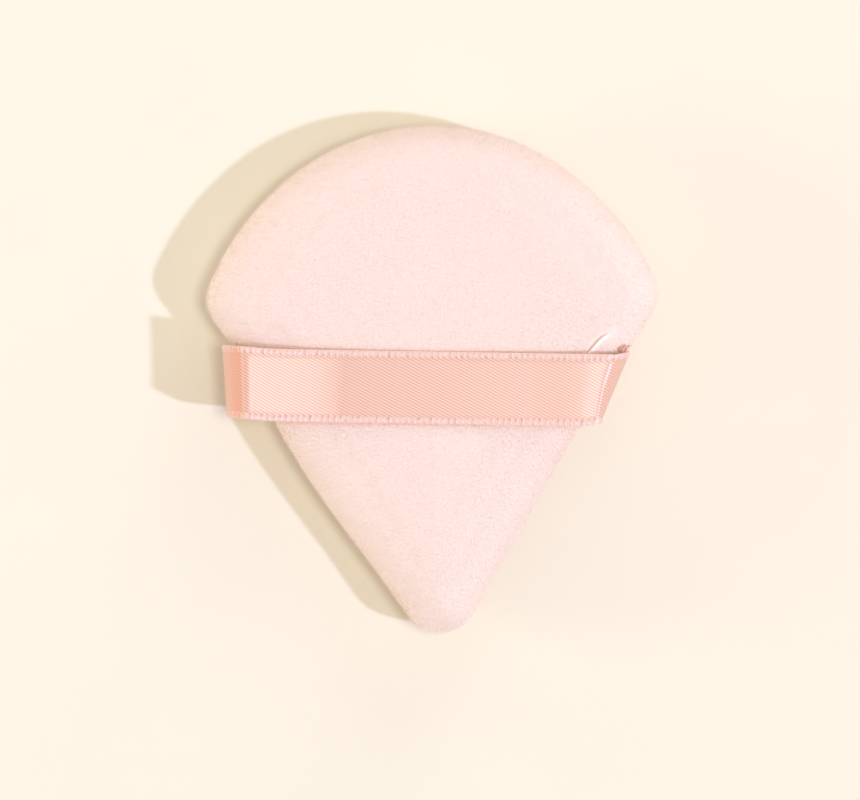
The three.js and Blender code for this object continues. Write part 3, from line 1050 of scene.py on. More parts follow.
    def swell_crown(self, form: bpy.types.Object) -> None:
        """Lets the rounded upper edge stand out, more on the left than on the right.

        Args:
            form: the closed form at life size.
        """
        points, normals = points_of(form), normals_of(form)
        amount = np.where(points[:, 0] < 0, self.left_crown, self.right_crown)
        shoulder = (share * self.side_top[0] for share in self.crown_shoulder)
        aside = ease(np.abs(points[:, 0]), *shoulder)
        amount = amount * aside + self.top_crown * (1 - aside)
        points[:, :2] += (amount * ease(points[:, 1], *self.crown_rise))[:, None] * normals[:, :2]
        move_points(form, points)

    def press_groove(self, form: bpy.types.Object) -> None:
        """Cuts loops of edges beside the seam and sinks the groove between them.

        Args:
            form: the closed form at life size.
        """
        with editing(form):
            for offset in self.seam_loops:
                bpy.ops.mesh.select_all(action="SELECT")
                height = (self.seam_height + offset) * MM
                bpy.ops.mesh.bisect(plane_co=(0, 0, height), plane_no=(0, 0, 1))
        points, normals = points_of(form), normals_of(form)
        sink = self.groove_depth * bell(points[:, 2] - self.seam_height, self.groove_width)
        points[:, :2] -= sink[:, None] * normals[:, :2]
        move_points(form, points)

    def shell(self, form: bpy.types.Object, side: Side) -> bpy.types.Object:
        """Cuts one half off the form and gives it the cloth's thickness.

        Args:
            form: the closed form at life size.
            side: which half.

        Returns:
            The cover, as a closed shell.
        """
        cover = bpy.data.objects.new(f"{side.value}_cover", form.data.copy())
        bpy.context.collection.objects.link(cover)
        front = side is Side.FRONT
        with editing(cover):
            bpy.ops.mesh.bisect(
                plane_co=(0, 0, self.seam_height * MM),
                plane_no=(0, 0, 1),
                clear_inner=front,
                clear_outer=not front,
            )
        self.pull_seam(cover)
        if front:
            self.fold_tuck(cover)
        self.skins[side] = Skin.of(cover)
        apply_modifier(cover, "Cloth thickness", "SOLIDIFY", thickness=self.cloth * MM, offset=-1.0)
        pick(cover)
        bpy.ops.object.shade_smooth_by_angle(angle=math.radians(self.crease_angle))
        lay_flat_map(cover, points_of(cover)[:, :2])
        return cover

    def pull_seam(self, cover: bpy.types.Object) -> None:
        """Lifts the seam beside the ribbon's right end, where the tack pulls it up on to the front.

        Args:
            cover: an open half of the cover.
        """
        points = points_of(cover)
        near = bell(np.linalg.norm(points[:, :2] - self.pull_place, axis=1), self.pull_width)
        height = np.clip((points[:, 2] - self.seam_height) / self.seam_height, -1, 1)
        shoulder = self.pull_shoulder * np.maximum(height, 0) ** 2
        points[:, 2] += self.pull_height * near * ((1 - height**2) ** 2 + shoulder)
        move_points(cover, points)

    def tuck_route(self) -> np.ndarray:
        """Returns points along the tuck, in plan."""
        return smooth_line(np.array(self.tuck), self.tuck_points)

    def from_tuck(self, places: np.ndarray) -> np.ndarray:
        """Returns how far places in plan lie from the tuck."""
        gaps = places[:, None] - self.tuck_route()[None]
        return np.sqrt((gaps**2).sum(2).min(1))

    def fold_tuck(self, cover: bpy.types.Object) -> None:
        """Folds the small tuck above the ribbon's right end: a crisp lip with a dip before it.

        The attribute "lip" tells the material where to paint a highlight on the bare lip, above 0, and a
        shadow in the crease, below 0.

        Args:
            cover: the open front half of the cover.
        """
        route = self.tuck_route()
        with editing(cover):
            bpy.ops.mesh.select_all(action="DESELECT")
            bpy.ops.mesh.select_mode(type="FACE")
            mesh = bmesh.from_edit_mesh(cover.data)
            for face in mesh.faces:
                away = np.array(face.calc_center_median()[:2]) / MM - route
                face.select_set(bool(np.hypot(away[:, 0], away[:, 1]).min() < self.tuck_reach))
            bmesh.update_edit_mesh(cover.data)
            bpy.ops.mesh.subdivide(number_cuts=self.tuck_cuts, smoothness=0.0)
        points, normals = points_of(cover), normals_of(cover)
        gaps = points[:, None, :2] - route[None]
        nearest = np.argmin((gaps**2).sum(2), axis=1)
        away = gaps[np.arange(len(points)), nearest]
        tangent = np.gradient(route, axis=0)[nearest]
        tangent /= np.linalg.norm(tangent, axis=1, keepdims=True)
        inside = away[:, 1] * tangent[:, 0] - away[:, 0] * tangent[:, 1] < 0
        distance = np.hypot(away[:, 0], away[:, 1])
        share = nearest / (len(route) - 1)
        ends = ease(share, 0, self.tuck_ends[0]) * ease(share, 1, self.tuck_ends[1])
        crisp, soft = np.exp(-distance / self.tuck_crest), np.exp(-distance / self.tuck_fade)
        crest = self.tuck_crispness * crisp + (1 - self.tuck_crispness) * soft
        lip = self.tuck_lift * ease(distance, 0, self.tuck_edge) * crest
        dip = -self.tuck_dip * bell(distance, self.tuck_dip_width)
        points += normals * (ends * np.where(inside, lip, dip))[:, None]
        move_points(cover, points)
        # Where the ground paints a highlight on the lip, above 0, and a shadow in the crease, below 0
        painted_lip_marks = cover.data.attributes.new("lip", "FLOAT", "POINT")
        highlighted = ease(distance, *self.lip_start) * ease(distance, *self.lip_end)
        shadowed = -ease(distance, *self.crease)
        painted_lip_marks.data.foreach_set("value", (ends * np.where(inside, highlighted, shadowed)).astype(np.float32))

    def dress(self, covers: dict[Side, bpy.types.Object]) -> None:
        """Gives the covers their cloth and ties them to the CAD.

        Args:
            covers: the front and the back cover.
        """
        cloth = GROUND.material()
        for side, cover in covers.items():
            cover.data.materials.append(cloth)
            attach(cover, "pad")
            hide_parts(f"{side.value}_panel")
            LOG.info("%s: %d faces", cover.name, len(cover.data.polygons))


@dataclass(frozen=True)
class Spike:
    """One spike of pile, of unit size and standing up."""

    points: np.ndarray
    faces: np.ndarray

    @classmethod
    def make(cls) -> "Spike":
        """Models the spike from a cone with three sides.

        Returns:
            Its points and triangles.
        """
        bpy.ops.object.select_all(action="DESELECT")
        bpy.ops.mesh.primitive_cone_add(vertices=3, radius1=0.5, depth=1.0, location=(0, 0, 0.5))
        cone = bpy.context.object
        bpy.ops.object.transform_apply(location=True, rotation=True, scale=True)
        points = points_of(cone) * MM
        faces = np.array([list(face.vertices) for face in cone.data.polygons])
        bpy.data.meshes.remove(cone.data)
        return cls(points, faces)


@dataclass
class CutPile:
    """The cut pile of the velour: fine closed spikes that lean with the nap.

    Sizes are in millimetres. Real pile has hundreds of fibres to a square millimetre, so each spike stands
    for a small lock of fibres, which is also as fine as the render can show.
    """

    seed: int = 7
    locks: int = 49000
    batches: int = 3
    length: float = 0.42
    length_range: tuple[float, float] = (0.85, 1.15)
    thickness: float = 0.05
    thickness_range: tuple[float, float] = (0.8, 1.2)
    rooted: float = 0.06
    floor_gap: float = 0.02
    map_spread: float = 0.3
    # The nap runs towards the tip, and broad swirls and small clumps turn it; leans are in degrees
    nap: tuple[float, float, float] = (-0.25, -1.0, 0.0)
    lean: float = 20.0
    lean_spread: float = 6.0
    swirl_size: float = 9.0
    swirl_turn: float = 0.9
    swirl_lean: float = 14.0
    clump_size: float = 1.1
    clump_turn: float = 0.2
    clump_lean: float = 3.0
    clump_shift: float = 40.0
    stray: float = 0.08
    # The least and the most that a free lock leans, in radians
    lean_limits: tuple[float, float] = (0.05, 1.2)
    # The pile lies flat under the strap, above the first heights, and on the floor, below the second ones
    strap_heights: tuple[float, float] = (9.0, 10.0)
    floor_heights: tuple[float, float] = (0.9, 0.3)
    pressed_lean: float = 82.0
    pressed_loss: float = 0.35
    # The tuck parts the pile: the distance from it over which the locks get their full length back
    parting: tuple[float, float] = (0.45, 0.8)
    parted_length: float = 0.1
    # Locks on the far rim are longer; the range is of how far the surface faces away from the tip
    fringe: float = 0.15
    fringe_facing: tuple[float, float] = (0.45, 0.9)
    brushed_place: tuple[float, float] = (3.8, -8.5)
    brushed_size: tuple[float, float] = (3.4, 1.9)
    brushed_blur: float = 0.7
    brushed_floor: float = 8.0
    brushed_nap: tuple[float, float, float] = (0.8, 0.5, 0.0)
    brushed_rise: float = 0.6

    def build(
        self, cover: PuffCover, side: Side, covered: Callable[[np.ndarray], np.ndarray]
    ) -> list[bpy.types.Object]:
        """Grows the pile of one half of the cover.

        Args:
            cover: the cover, with its outer surfaces and the tuck that parts the pile.
            side: which half.
            covered: tells for places in plan whether the strap lies over them, from 0 to 1.

        Returns:
            The pile, in batches that stay small enough for the export.
        """
        spike = Spike.make()
        noise.seed_set(self.seed)
        rng = np.random.default_rng(self.seed + list(Side).index(side))
        return [
            self.batch(f"{side.value}_pile_{number + 1}", cover, side, covered, spike, rng)
            for number in range(self.batches)
        ]

    def batch(
        self,
        name: str,
        cover: PuffCover,
        side: Side,
        covered: Callable[[np.ndarray], np.ndarray],
        spike: Spike,
        rng: np.random.Generator,
    ) -> bpy.types.Object:
        """Makes one batch of pile as a mesh.

        Args:
            name: the piece's name.
            cover: the cover.
            side: which half of it.
            covered: tells whether the strap lies over a place.
            spike: the shape of one lock.
            rng: the seeded source of random numbers.

        Returns:
            The batch.
        """
        roots, normals = cover.skins[side].scatter(self.locks, rng)
        heights = roots[:, 2]
        under_strap = covered(roots[:, :2]) * ease(heights, *self.strap_heights)
        pressed = np.maximum(under_strap, ease(heights, *self.floor_heights))
        axes, lengths = self.directions(roots, normals, pressed, rng)
        lengths *= self.left_by_tuck(cover, roots)
        turn = rng.random(self.locks) * 2 * math.pi
        helper = np.where(np.abs(axes[:, 2:]) < 0.9, [[0.0, 0, 1]], [[1.0, 0, 0]])
        side_a = np.cross(axes, helper)
        side_a /= np.linalg.norm(side_a, axis=1, keepdims=True)
        side_b = np.cross(axes, side_a)
        width = self.thickness * rng.uniform(*self.thickness_range, self.locks)
        first = (side_a * np.cos(turn)[:, None] + side_b * np.sin(turn)[:, None]) * width[:, None]
        second = (side_b * np.cos(turn)[:, None] - side_a * np.sin(turn)[:, None]) * width[:, None]
        start = roots - self.rooted * normals
        shape = spike.points
        points = (
            start[:, None]
            + shape[None, :, 0:1] * first[:, None]
            + shape[None, :, 1:2] * second[:, None]
            + shape[None, :, 2:3] * (axes * lengths[:, None])[:, None]
        ).reshape(-1, 3)
        points[:, 2] = np.maximum(points[:, 2], self.floor_gap)
        corners = (spike.faces[None] + (np.arange(self.locks) * len(shape))[:, None, None]).reshape(-1, 3)
        mesh = bpy.data.meshes.new(name)
        mesh.from_pydata(points * MM, [], corners)
        pile = bpy.data.objects.new(name, mesh)
        bpy.context.collection.objects.link(pile)
        spread = np.repeat(roots[:, None, :2], len(shape), axis=1) + self.map_spread * shape[None, :, :2]
        lay_flat_map(pile, spread.reshape(-1, 2))
        return pile

    def left_by_tuck(self, cover: PuffCover, roots: np.ndarray) -> np.ndarray:
        """Tells how much of each lock's length is left beside the tuck.

        Args:
            cover: the cover with the tuck.
            roots: where the locks grow.

        Returns:
            A share from 0 to 1 for each root.
        """
        tuck = np.array(cover.tuck)
        margin = 2 * self.parting[1]
        within = (roots[:, :2] > tuck.min(0) - margin) & (roots[:, :2] < tuck.max(0) + margin)
        near = within.all(1) & (roots[:, 2] > cover.seam_height)
        regained = ease(cover.from_tuck(roots[near, :2]), *self.parting)
        left = np.ones(len(roots))
        left[near] = self.parted_length + (1 - self.parted_length) * regained
        return left

    def directions(
        self, roots: np.ndarray, normals: np.ndarray, pressed: np.ndarray, rng: np.random.Generator
    ) -> tuple[np.ndarray, np.ndarray]:
        """Works out how each lock of pile leans, and how long it is.

        Args:
            roots: where the locks grow.
            normals: the surface's normal at each root.
            pressed: how far each lock is pressed flat, from 0 to 1.
            rng: the seeded source of random numbers.

        Returns:
            The locks' directions and their lengths.
        """
        count = len(roots)
        swirl = np.array([noise.noise_vector(Vector(p / self.swirl_size)) for p in roots])
        clump = np.array([noise.noise_vector(Vector(p / self.clump_size + self.clump_shift)) for p in roots])
        brushed = self.brushed(roots)
        nap = np.array([self.nap]) + self.swirl_turn * swirl + self.clump_turn * clump
        nap = nap * (1 - brushed[:, None]) + np.array([self.brushed_nap]) * brushed[:, None]
        nap -= (nap * normals).sum(1, keepdims=True) * normals
        nap /= np.linalg.norm(nap, axis=1, keepdims=True)
        lean = self.lean + self.swirl_lean * swirl[:, 2] + self.clump_lean * clump[:, 2]
        angle = np.radians(lean + rng.normal(0, self.lean_spread, count))
        angle = np.clip(angle * (1 - self.brushed_rise * brushed), *self.lean_limits)
        angle = angle * (1 - pressed) + math.radians(self.pressed_lean) * pressed
        axes = normals * np.cos(angle)[:, None] + nap * np.sin(angle)[:, None]
        axes += self.stray * rng.normal(size=(count, 3)) * (1 - pressed[:, None])
        axes /= np.linalg.norm(axes, axis=1, keepdims=True)
        lengths = self.length * rng.uniform(*self.length_range, count) * (1 - self.pressed_loss * pressed)
        lengths *= 1 + self.fringe * ease(normals[:, 1], *self.fringe_facing)
        return axes, lengths

    def brushed(self, roots: np.ndarray) -> np.ndarray:
        """Tells how far each root lies in the streak that was brushed up below the strap.

        Args:
            roots: where the locks grow.

        Returns:
            A share from 0 to 1 for each root.
        """
        away = (roots[:, :2] - self.brushed_place) / self.brushed_size
        return bell(np.hypot(away[:, 0], away[:, 1]), self.brushed_blur) * (roots[:, 2] > self.brushed_floor)

    def dress(self, batches: list[bpy.types.Object], side: Side, finish: bpy.types.Material) -> None:
        """Gives the pile its finish and ties it to the pad.

        Args:
            batches: the pile of one cover.
            side: which cover it is; not used.
            finish: the pile's material.
        """
        for pile in batches:
            pile.data.materials.append(finish)
            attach(pile, "pad")
            LOG.info("%s: %d locks", pile.name, self.locks)


# The satin strap


@dataclass(frozen=True)
class LoopEdge:
    """Half a ribbon loop along one long edge, as places along the ribbon and heights, in millimetres.

    The ribbon runs over the pad's edge to the fold, which is the last point of over, and then under it to the
    seam.
    """

    over: tuple[tuple[float, float], ...]
    under: tuple[tuple[float, float], ...]


# The loops' lower and upper edges, set against the photograph
LEFT_LOOP = (
    LoopEdge(
        over=(
            (-15.0, 13.46), (-17.0, 13.58), (-20.0, 13.83), (-22.5, 14.07), (-25.2, 14.35), (-25.9, 14.41),
            (-26.3, 14.35), (-26.75, 14.0), (-27.1, 13.4), (-27.4, 12.65), (-28.95, 7.6),
        ),
        under=((-22.3, 6.55), (-20.3, 6.4)),
    ),
    LoopEdge(
        over=(
            (-15.0, 13.46), (-17.0, 13.58), (-20.0, 13.83), (-22.8, 14.1), (-25.5, 14.38), (-26.2, 14.44),
            (-26.65, 14.38), (-27.15, 14.02), (-27.55, 13.4), (-27.9, 12.65), (-29.8, 7.6),
        ),
        under=((-28.5, 6.55), (-26.5, 6.4)),
    ),
)
RIGHT_LOOP = (
    LoopEdge(
        over=(
            (19.4, 13.43), (20.6, 13.4), (21.5, 13.33), (22.3, 13.26),
            (22.6, 13.1), (22.85, 12.6), (23.0, 11.6), (22.95, 8.2),
        ),
        under=((20.9, 6.6), (19.2, 6.4)),
    ),
    LoopEdge(
        over=(
            (21.0, 13.42), (22.2, 13.38), (23.4, 13.29), (24.55, 13.19),
            (25.1, 12.92), (25.8, 12.17), (26.5, 10.9), (27.0, 9.2),
        ),
        under=((26.8, 8.2), (26.0, 7.2)),
    ),
)


@dataclass
class FingerStrap:
    """The satin ribbon across the front, sewn into the seam at both sides.

    Sizes are in millimetres. A place on the ribbon is given along it from the pad's middle line and across it
    from its own middle, which lean and offset turn into the pad's frame.
    """

    width: float = STRAP_WIDTH
    cloth: float = 0.28
    crease_angle: float = 55.0
    lean: float = STRAP_LEAN
    offset: float = STRAP_OFFSET
    span: float = 24.0
    middle_height: float = 13.46
    split_height: float = 13.42
    step: float = 0.125
    bead_pitch: float = SATIN.bead_pitch
    bead_height: float = 0.12
    bead_swing: float = 0.45
    selvedge: float = SATIN.selvedge
    furrow_inset: float = 0.1
    furrow_depth: float = 0.03
    furrow_width: float = 0.12
    # How far the ends sway up the pad, and over which places along the ribbon, the right ones from its fold
    left_sway: float = 0.45
    left_sway_run: tuple[float, float] = (-19.0, -29.5)
    right_sway: float = 0.45
    right_sway_run: tuple[float, float] = (-2.4, 0.2)
    # The right fold's place along the ribbon's lower and upper edge
    right_fold: tuple[float, float] = (RIGHT_LOOP[0].over[-1][0], RIGHT_LOOP[1].over[-1][0])
    # The pile is pressed from this far outside the ribbon's edge to this far inside it
    press_outside: float = 0.3
    press_inside: float = 0.4
    edge_points: int = 1200
    lead: float = 1.5
    heel_in: float = 0.55
    heel_share: float = 0.6
    heel_drop: float = 0.25
    # The left fold counts as turned down by how far it faces up, and only on the way over the pad
    turned_facing: tuple[float, float] = (0.96, 0.62)
    turned_heights: tuple[float, float] = (8.5, 13.0)
    loops: dict[End, tuple[LoopEdge, LoopEdge]] = field(
        default_factory=lambda: {End.LEFT: LEFT_LOOP, End.RIGHT: RIGHT_LOOP}
    )
    # Where each end stops following the pad and where it follows the lifted span, as x and z
    blends: dict[str, tuple[tuple[float, float], tuple[float, float]]] = field(
        default_factory=lambda: {
            "ribbon_left_end": ((-21.5, 6.5), (-13.4, 14.6)),
            "ribbon_right_end": ((20.5, 6.5), (12.9, 14.1)),
        }
    )

    def in_plan(self, along: np.ndarray, across: np.ndarray) -> np.ndarray:
        """Turns places on the ribbon into the pad's frame.

        Args:
            along: distances along the ribbon.
            across: distances across it.

        Returns:
            The places' x and y, in the last axis.
        """
        turn = self.lean
        x = along * math.cos(turn) - across * math.sin(turn)
        share = across / self.width + 0.5
        fold = self.right_fold[0] * (1 - share) + self.right_fold[1] * share
        left = self.left_sway * ease(along, *self.left_sway_run) ** 2
        right = self.right_sway * ease(along - fold, *self.right_sway_run)
        y = along * math.sin(turn) + across * math.cos(turn) + self.offset + (left + right)
        return np.stack(np.broadcast_arrays(x, y), axis=-1)

    def covers(self, places: np.ndarray) -> np.ndarray:
        """Tells how far the strap lies over places in plan, from 0 outside it to 1 under it."""
        turn = self.lean
        shifted = places - np.array([0, self.offset])
        across = -shifted[:, 0] * math.sin(turn) + shifted[:, 1] * math.cos(turn)
        edge = self.width / 2
        return ease(np.abs(across), edge + self.press_outside, edge - self.press_inside)

    def across_steps(self) -> np.ndarray:
        """Returns the distances across the ribbon at which its mesh has a line of points."""
        count = round(self.width / self.step)
        return np.linspace(-self.width / 2, self.width / 2, count + 1)

    def span_rows(self) -> tuple[np.ndarray, np.ndarray]:
        """Lays out the middle of the strap.

        Returns:
            Points of the ribbon's middle surface by row and by place across, and the length along the flat
            ribbon.
        """
        half = self.span / 2
        along = np.linspace(-half, half, round(self.span / self.step) + 1)
        drop = (self.middle_height - self.split_height) * (along / half) ** 2
        across = self.across_steps()
        grid = np.empty((len(along), len(across), 3))
        grid[..., :2] = self.in_plan(along[:, None], across[None])
        grid[..., 2] = (self.middle_height - drop)[:, None]
        return grid, np.repeat(along[:, None], len(across), axis=1)

    def edge_line(self, end: End, edge: LoopEdge) -> tuple[np.ndarray, np.ndarray]:
        """Draws one long edge of an end from the span's edge to the fold, and from there into the seam.

        Args:
            end: which end.
            edge: the loop's places along that edge.

        Returns:
            Both lines, as places along the ribbon and heights.
        """
        half = self.span / 2
        slope = 2 * (self.middle_height - self.split_height) / half
        start = (end.value * half, self.split_height)
        lead = (end.value * (half + self.lead), self.split_height - self.lead * slope)
        fold, seam = edge.over[-1], edge.under[0]
        heel_height = self.heel_share * seam[1] + (1 - self.heel_share) * fold[1] - self.heel_drop
        heel = (fold[0] - end.value * self.heel_in, heel_height)
        line = smooth_line(np.array([start, lead, *edge.over, heel, *edge.under]), self.edge_points)
        turn = np.argmin(np.linalg.norm(line - fold, axis=1))
        return line[: turn + 1], line[turn:]

    def end_rows(self, end: End) -> tuple[np.ndarray, np.ndarray]:
        """Lays out one end of the strap.

        Args:
            end: which end.

        Returns:
            Points of the ribbon's middle surface by row and by place across, and the length along the flat
            ribbon, with rows from left to right along the outer face.
        """
        across = self.across_steps()
        share = ((across + self.width / 2) / self.width)[None, :, None]
        lower, upper = (self.edge_line(end, edge) for edge in self.loops[end])
        parts, flat, walked = [], [], np.full((1, len(across)), self.span / 2)
        for below, above in zip(lower, upper):
            longest = max(lengths_along(below)[-1], lengths_along(above)[-1])
            count = math.ceil(longest / self.step) + 1
            lines = [evenly(line, count)[:, None] for line in (below, above)]
            parts.append(lines[0] * (1 - share) + lines[1] * share)
            steps = [lengths_along(line[:, 0])[:, None] for line in lines]
            flat.append(walked + steps[0] * (1 - share[..., 0]) + steps[1] * share[..., 0])
            walked = flat[-1][-1:]
        line = np.vstack([parts[0], parts[1][1:]])
        length = end.value * np.vstack([flat[0], flat[1][1:]])
        grid = np.empty((*line.shape[:2], 3))
        grid[..., :2] = self.in_plan(line[..., 0], np.broadcast_to(across[None], line.shape[:2]))
        grid[..., 2] = line[..., 1]
        if end is End.LEFT:
            return grid[::-1], length[::-1]
        return grid, length

    def weave(self, name: str, grid: np.ndarray, length: np.ndarray) -> bpy.types.Object:
        """Makes a stretch of ribbon from its layout, with beaded selvedges and the cloth's thickness.

        Args:
            name: the piece's name.
            grid: points of the ribbon's middle surface by row and by place across.
            length: the length along the flat ribbon of each point.

        Returns:
            The stretch of ribbon, as a closed sheet.
        """
        rows, columns = grid.shape[:2]
        across = np.broadcast_to(self.across_steps()[None], (rows, columns))
        facing = np.cross(np.gradient(grid, axis=0), np.gradient(grid, axis=1))
        facing /= np.linalg.norm(facing, axis=2, keepdims=True)
        inward = self.width / 2 - np.abs(across)
        ridge = np.sin(math.pi * np.clip(inward / self.selvedge, 0, 1))
        beads = 1 - self.bead_swing + self.bead_swing * np.sin(2 * math.pi * length / self.bead_pitch)
        furrow = self.furrow_depth * bell(inward - self.selvedge - self.furrow_inset, self.furrow_width)
        relief = self.bead_height * ridge * beads - furrow
        grid = grid + facing * relief[..., None]
        bpy.ops.object.select_all(action="DESELECT")
        bpy.ops.mesh.primitive_grid_add(x_subdivisions=rows - 1, y_subdivisions=columns - 1, size=1.0)
        ribbon = bpy.context.object
        ribbon.name = name
        ribbon.data.name = name
        move_points(ribbon, grid.transpose(1, 0, 2).reshape(-1, 3))
        # How far the left fold is turned down: the satin paints shade there by it and makes it rougher
        turned = ease(facing[..., 2], *self.turned_facing) * ease(grid[..., 2], *self.turned_heights)
        turned = turned * (length < 0)
        place = np.stack([length, across, turned], axis=2).transpose(1, 0, 2).reshape(-1, 3)
        weave = ribbon.data.attributes.new("weave", "FLOAT_VECTOR", "POINT")
        weave.data.foreach_set("vector", place.astype(np.float32).ravel())
        while ribbon.data.uv_layers:
            ribbon.data.uv_layers.remove(ribbon.data.uv_layers[0])
        apply_modifier(ribbon, "Cloth thickness", "SOLIDIFY", thickness=self.cloth * MM, offset=0.0)
        pick(ribbon)
        bpy.ops.object.shade_smooth_by_angle(angle=math.radians(self.crease_angle))
        return ribbon

    def build(self) -> dict[str, bpy.types.Object]:
        """Makes the three stretches of the strap.

        Returns:
            The stretches by the name of the CAD node that each stands for.
        """
        return {
            "ribbon_span": self.weave("strap_span", *self.span_rows()),
            "ribbon_left_end": self.weave("strap_left_end", *self.end_rows(End.LEFT)),
            "ribbon_right_end": self.weave("strap_right_end", *self.end_rows(End.RIGHT)),
        }

    def dress(self, stretches: dict[str, bpy.types.Object]) -> None:
        """Gives the strap its satin and ties its span to the CAD; the ends keep the place they were built in.

        Args:
            stretches: the stretches by CAD node.
        """
        satin = SATIN.material()
        for node, ribbon in stretches.items():
            ribbon.data.materials.append(satin)
            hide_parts(node)
        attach(stretches["ribbon_span"], "strap")
        for node, (start, end) in self.blends.items():
            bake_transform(stretches[node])


# Threads and what stays inside


@dataclass
class Stitching:
    """Threads that show outside the cover, and the finishes of the pieces inside it.

    Sizes are in millimetres.
    """

    thread: float = 0.3
    crease_angle: float = 60.0
    weld: float = 0.0001
    closing_middle: float = -19.0
    closing_length: float = 18.0
    closing_pitch: float = 2.25
    closing_swing: float = 0.4
    closing_out: float = 0.25
    closing_points: int = 10
    seam_height: float = SEAM_HEIGHT
    seam_slack: float = 0.05
    knot_place: tuple[float, float] = (26.4, 3.95)
    knot_reach: float = 0.8
    knot_rise: float = 0.35
    knot_thread: float = 0.34
    knot_length: float = 0.75
    knot_sag: float = 0.4
    # The loops of the knot lie in turn at these angles, a step apart, and every second one higher
    knot_loops: int = 4
    knot_lies: tuple[float, float] = (12.0, 50.0)
    knot_step: tuple[float, float] = (0.28, 0.05)
    knot_stagger: float = 0.12
    arch_points: int = 7
    loop_points: int = 16

    def tube(self, name: str, route: np.ndarray, thickness: float) -> bpy.types.Object:
        """Makes a thread as a closed tube along a route.

        Args:
            name: the piece's name.
            route: the points that the thread follows.
            thickness: the thread's diameter.

        Returns:
            The thread as a mesh.
        """
        bpy.ops.object.select_all(action="DESELECT")
        bpy.ops.curve.primitive_bezier_curve_add(location=(0, 0, 0))
        thread = bpy.context.object
        thread.name = name
        thread.data.splines.clear()
        spline = thread.data.splines.new("POLY")
        spline.points.add(len(route) - 1)
        for point, place in zip(spline.points, route):
            point.co = (*(place * MM), 1.0)
        thread.data.bevel_depth = thickness / 2 * MM
        thread.data.bevel_resolution = 2
        thread.data.use_fill_caps = True
        bpy.ops.object.convert(target="MESH")
        thread = bpy.context.object
        with editing(thread):
            bpy.ops.mesh.remove_doubles(threshold=self.weld * MM)
            bpy.ops.mesh.normals_make_consistent(inside=False)
        pick(thread)
        bpy.ops.object.shade_smooth_by_angle(angle=math.radians(self.crease_angle))
        return thread

    def closing(self, skin: Skin) -> bpy.types.Object:
        """Sews the turning gap shut with slanted stitches that bridge the seam's groove.

        Args:
            skin: the front cover's outer surface, whose lower rim is the seam.

        Returns:
            The thread.
        """
        rim = skin.points[np.abs(skin.points[:, 2] - self.seam_height) < self.seam_slack]
        rim = rim[(rim[:, 0] > 0) & (rim[:, 1] < 0)]
        rim = rim[np.argsort(rim[:, 1])]
        count = round(self.closing_length / self.closing_pitch) * 2
        y = self.closing_middle + self.closing_length * (np.arange(count + 1) / count - 0.5)
        swing = np.where(np.arange(count + 1) % 2 == 0, -1.0, 1.0) * self.closing_swing
        x = np.interp(y, rim[:, 1], rim[:, 0]) + self.closing_out
        corners = np.stack([x, y, self.seam_height + swing], axis=1)
        return self.tube("closing_thread", smooth_line(corners, count * self.closing_points), self.thread)

    def tack_ends(self, skin: Skin) -> bpy.types.Object:
        """Sews the small knot of the tack over the ribbon's upper right corner.

        Args:
            skin: the front cover's outer surface, on which the knot sits.

        Returns:
            The knot, as one piece.
        """
        near = np.linalg.norm(skin.points[:, :2] - self.knot_place, axis=1)
        ground = skin.points[near < self.knot_reach, 2].max() + self.knot_rise
        arch = np.linspace(-1, 1, self.arch_points)
        along = self.knot_length / 2 * arch
        loops = []
        for number in range(self.knot_loops):
            odd = number % 2
            lie = math.radians(self.knot_lies[odd])
            steps = number - (self.knot_loops - 1) / 2
            middle = np.array(self.knot_place) + np.array(self.knot_step) * steps
            x, y = middle[0] + along * math.cos(lie), middle[1] + along * math.sin(lie)
            heights = ground + self.knot_stagger * odd - self.knot_sag * arch**2
            route = smooth_line(np.stack([x, y, heights], axis=1), self.loop_points)
            loops.append(self.tube(f"tack_loop_{number}", route, self.knot_thread))
        bpy.ops.object.select_all(action="DESELECT")
        for loop in loops:
            loop.select_set(True)
        bpy.context.view_layer.objects.active = loops[0]
        bpy.ops.object.join()
        joined = bpy.context.object
        joined.name = "tack_knot"
        return joined

    def dress(self, closing: bpy.types.Object, ends: bpy.types.Object) -> None:
        """Gives the threads and the pieces inside the cover their finishes.

        Args:
            closing: the closing stitches.
            ends: the tack's knot.
        """
        thread, foam = THREAD.material(), FOAM.material()
        for piece in (closing, ends):
            piece.data.materials.append(thread)
            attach(piece, "pad")
            LOG.info("%s: %d faces", piece.name, len(piece.data.polygons))
        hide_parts("closing_stitch")
        for node in ("needle_thread", "bobbin_thread", "left_tack", "right_tack", "foam_core"):
            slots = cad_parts[node].data.materials
            slots.clear()
            slots.append(foam if node == "foam_core" else thread)


# The studio


@dataclass(frozen=True)
class SoftLamp:
    """A square soft light that faces the puff. Its place and side are in metres, its power in watts."""

    name: str
    place: tuple[float, float, float]
    side: float
    power: float
    colour: str = "#FFFFFF"

    def hang(self) -> None:
        """Hangs the lamp."""
        bpy.ops.object.light_add(type="AREA", location=Vector(self.place))
        lamp = bpy.context.object
        lamp.name = self.name
        lamp.data.energy = self.power
        lamp.data.size = self.side
        lamp.data.color = linear(self.colour)[:3]
        lamp.rotation_euler = Vector(self.place).to_track_quat("Z", "Y").to_euler()


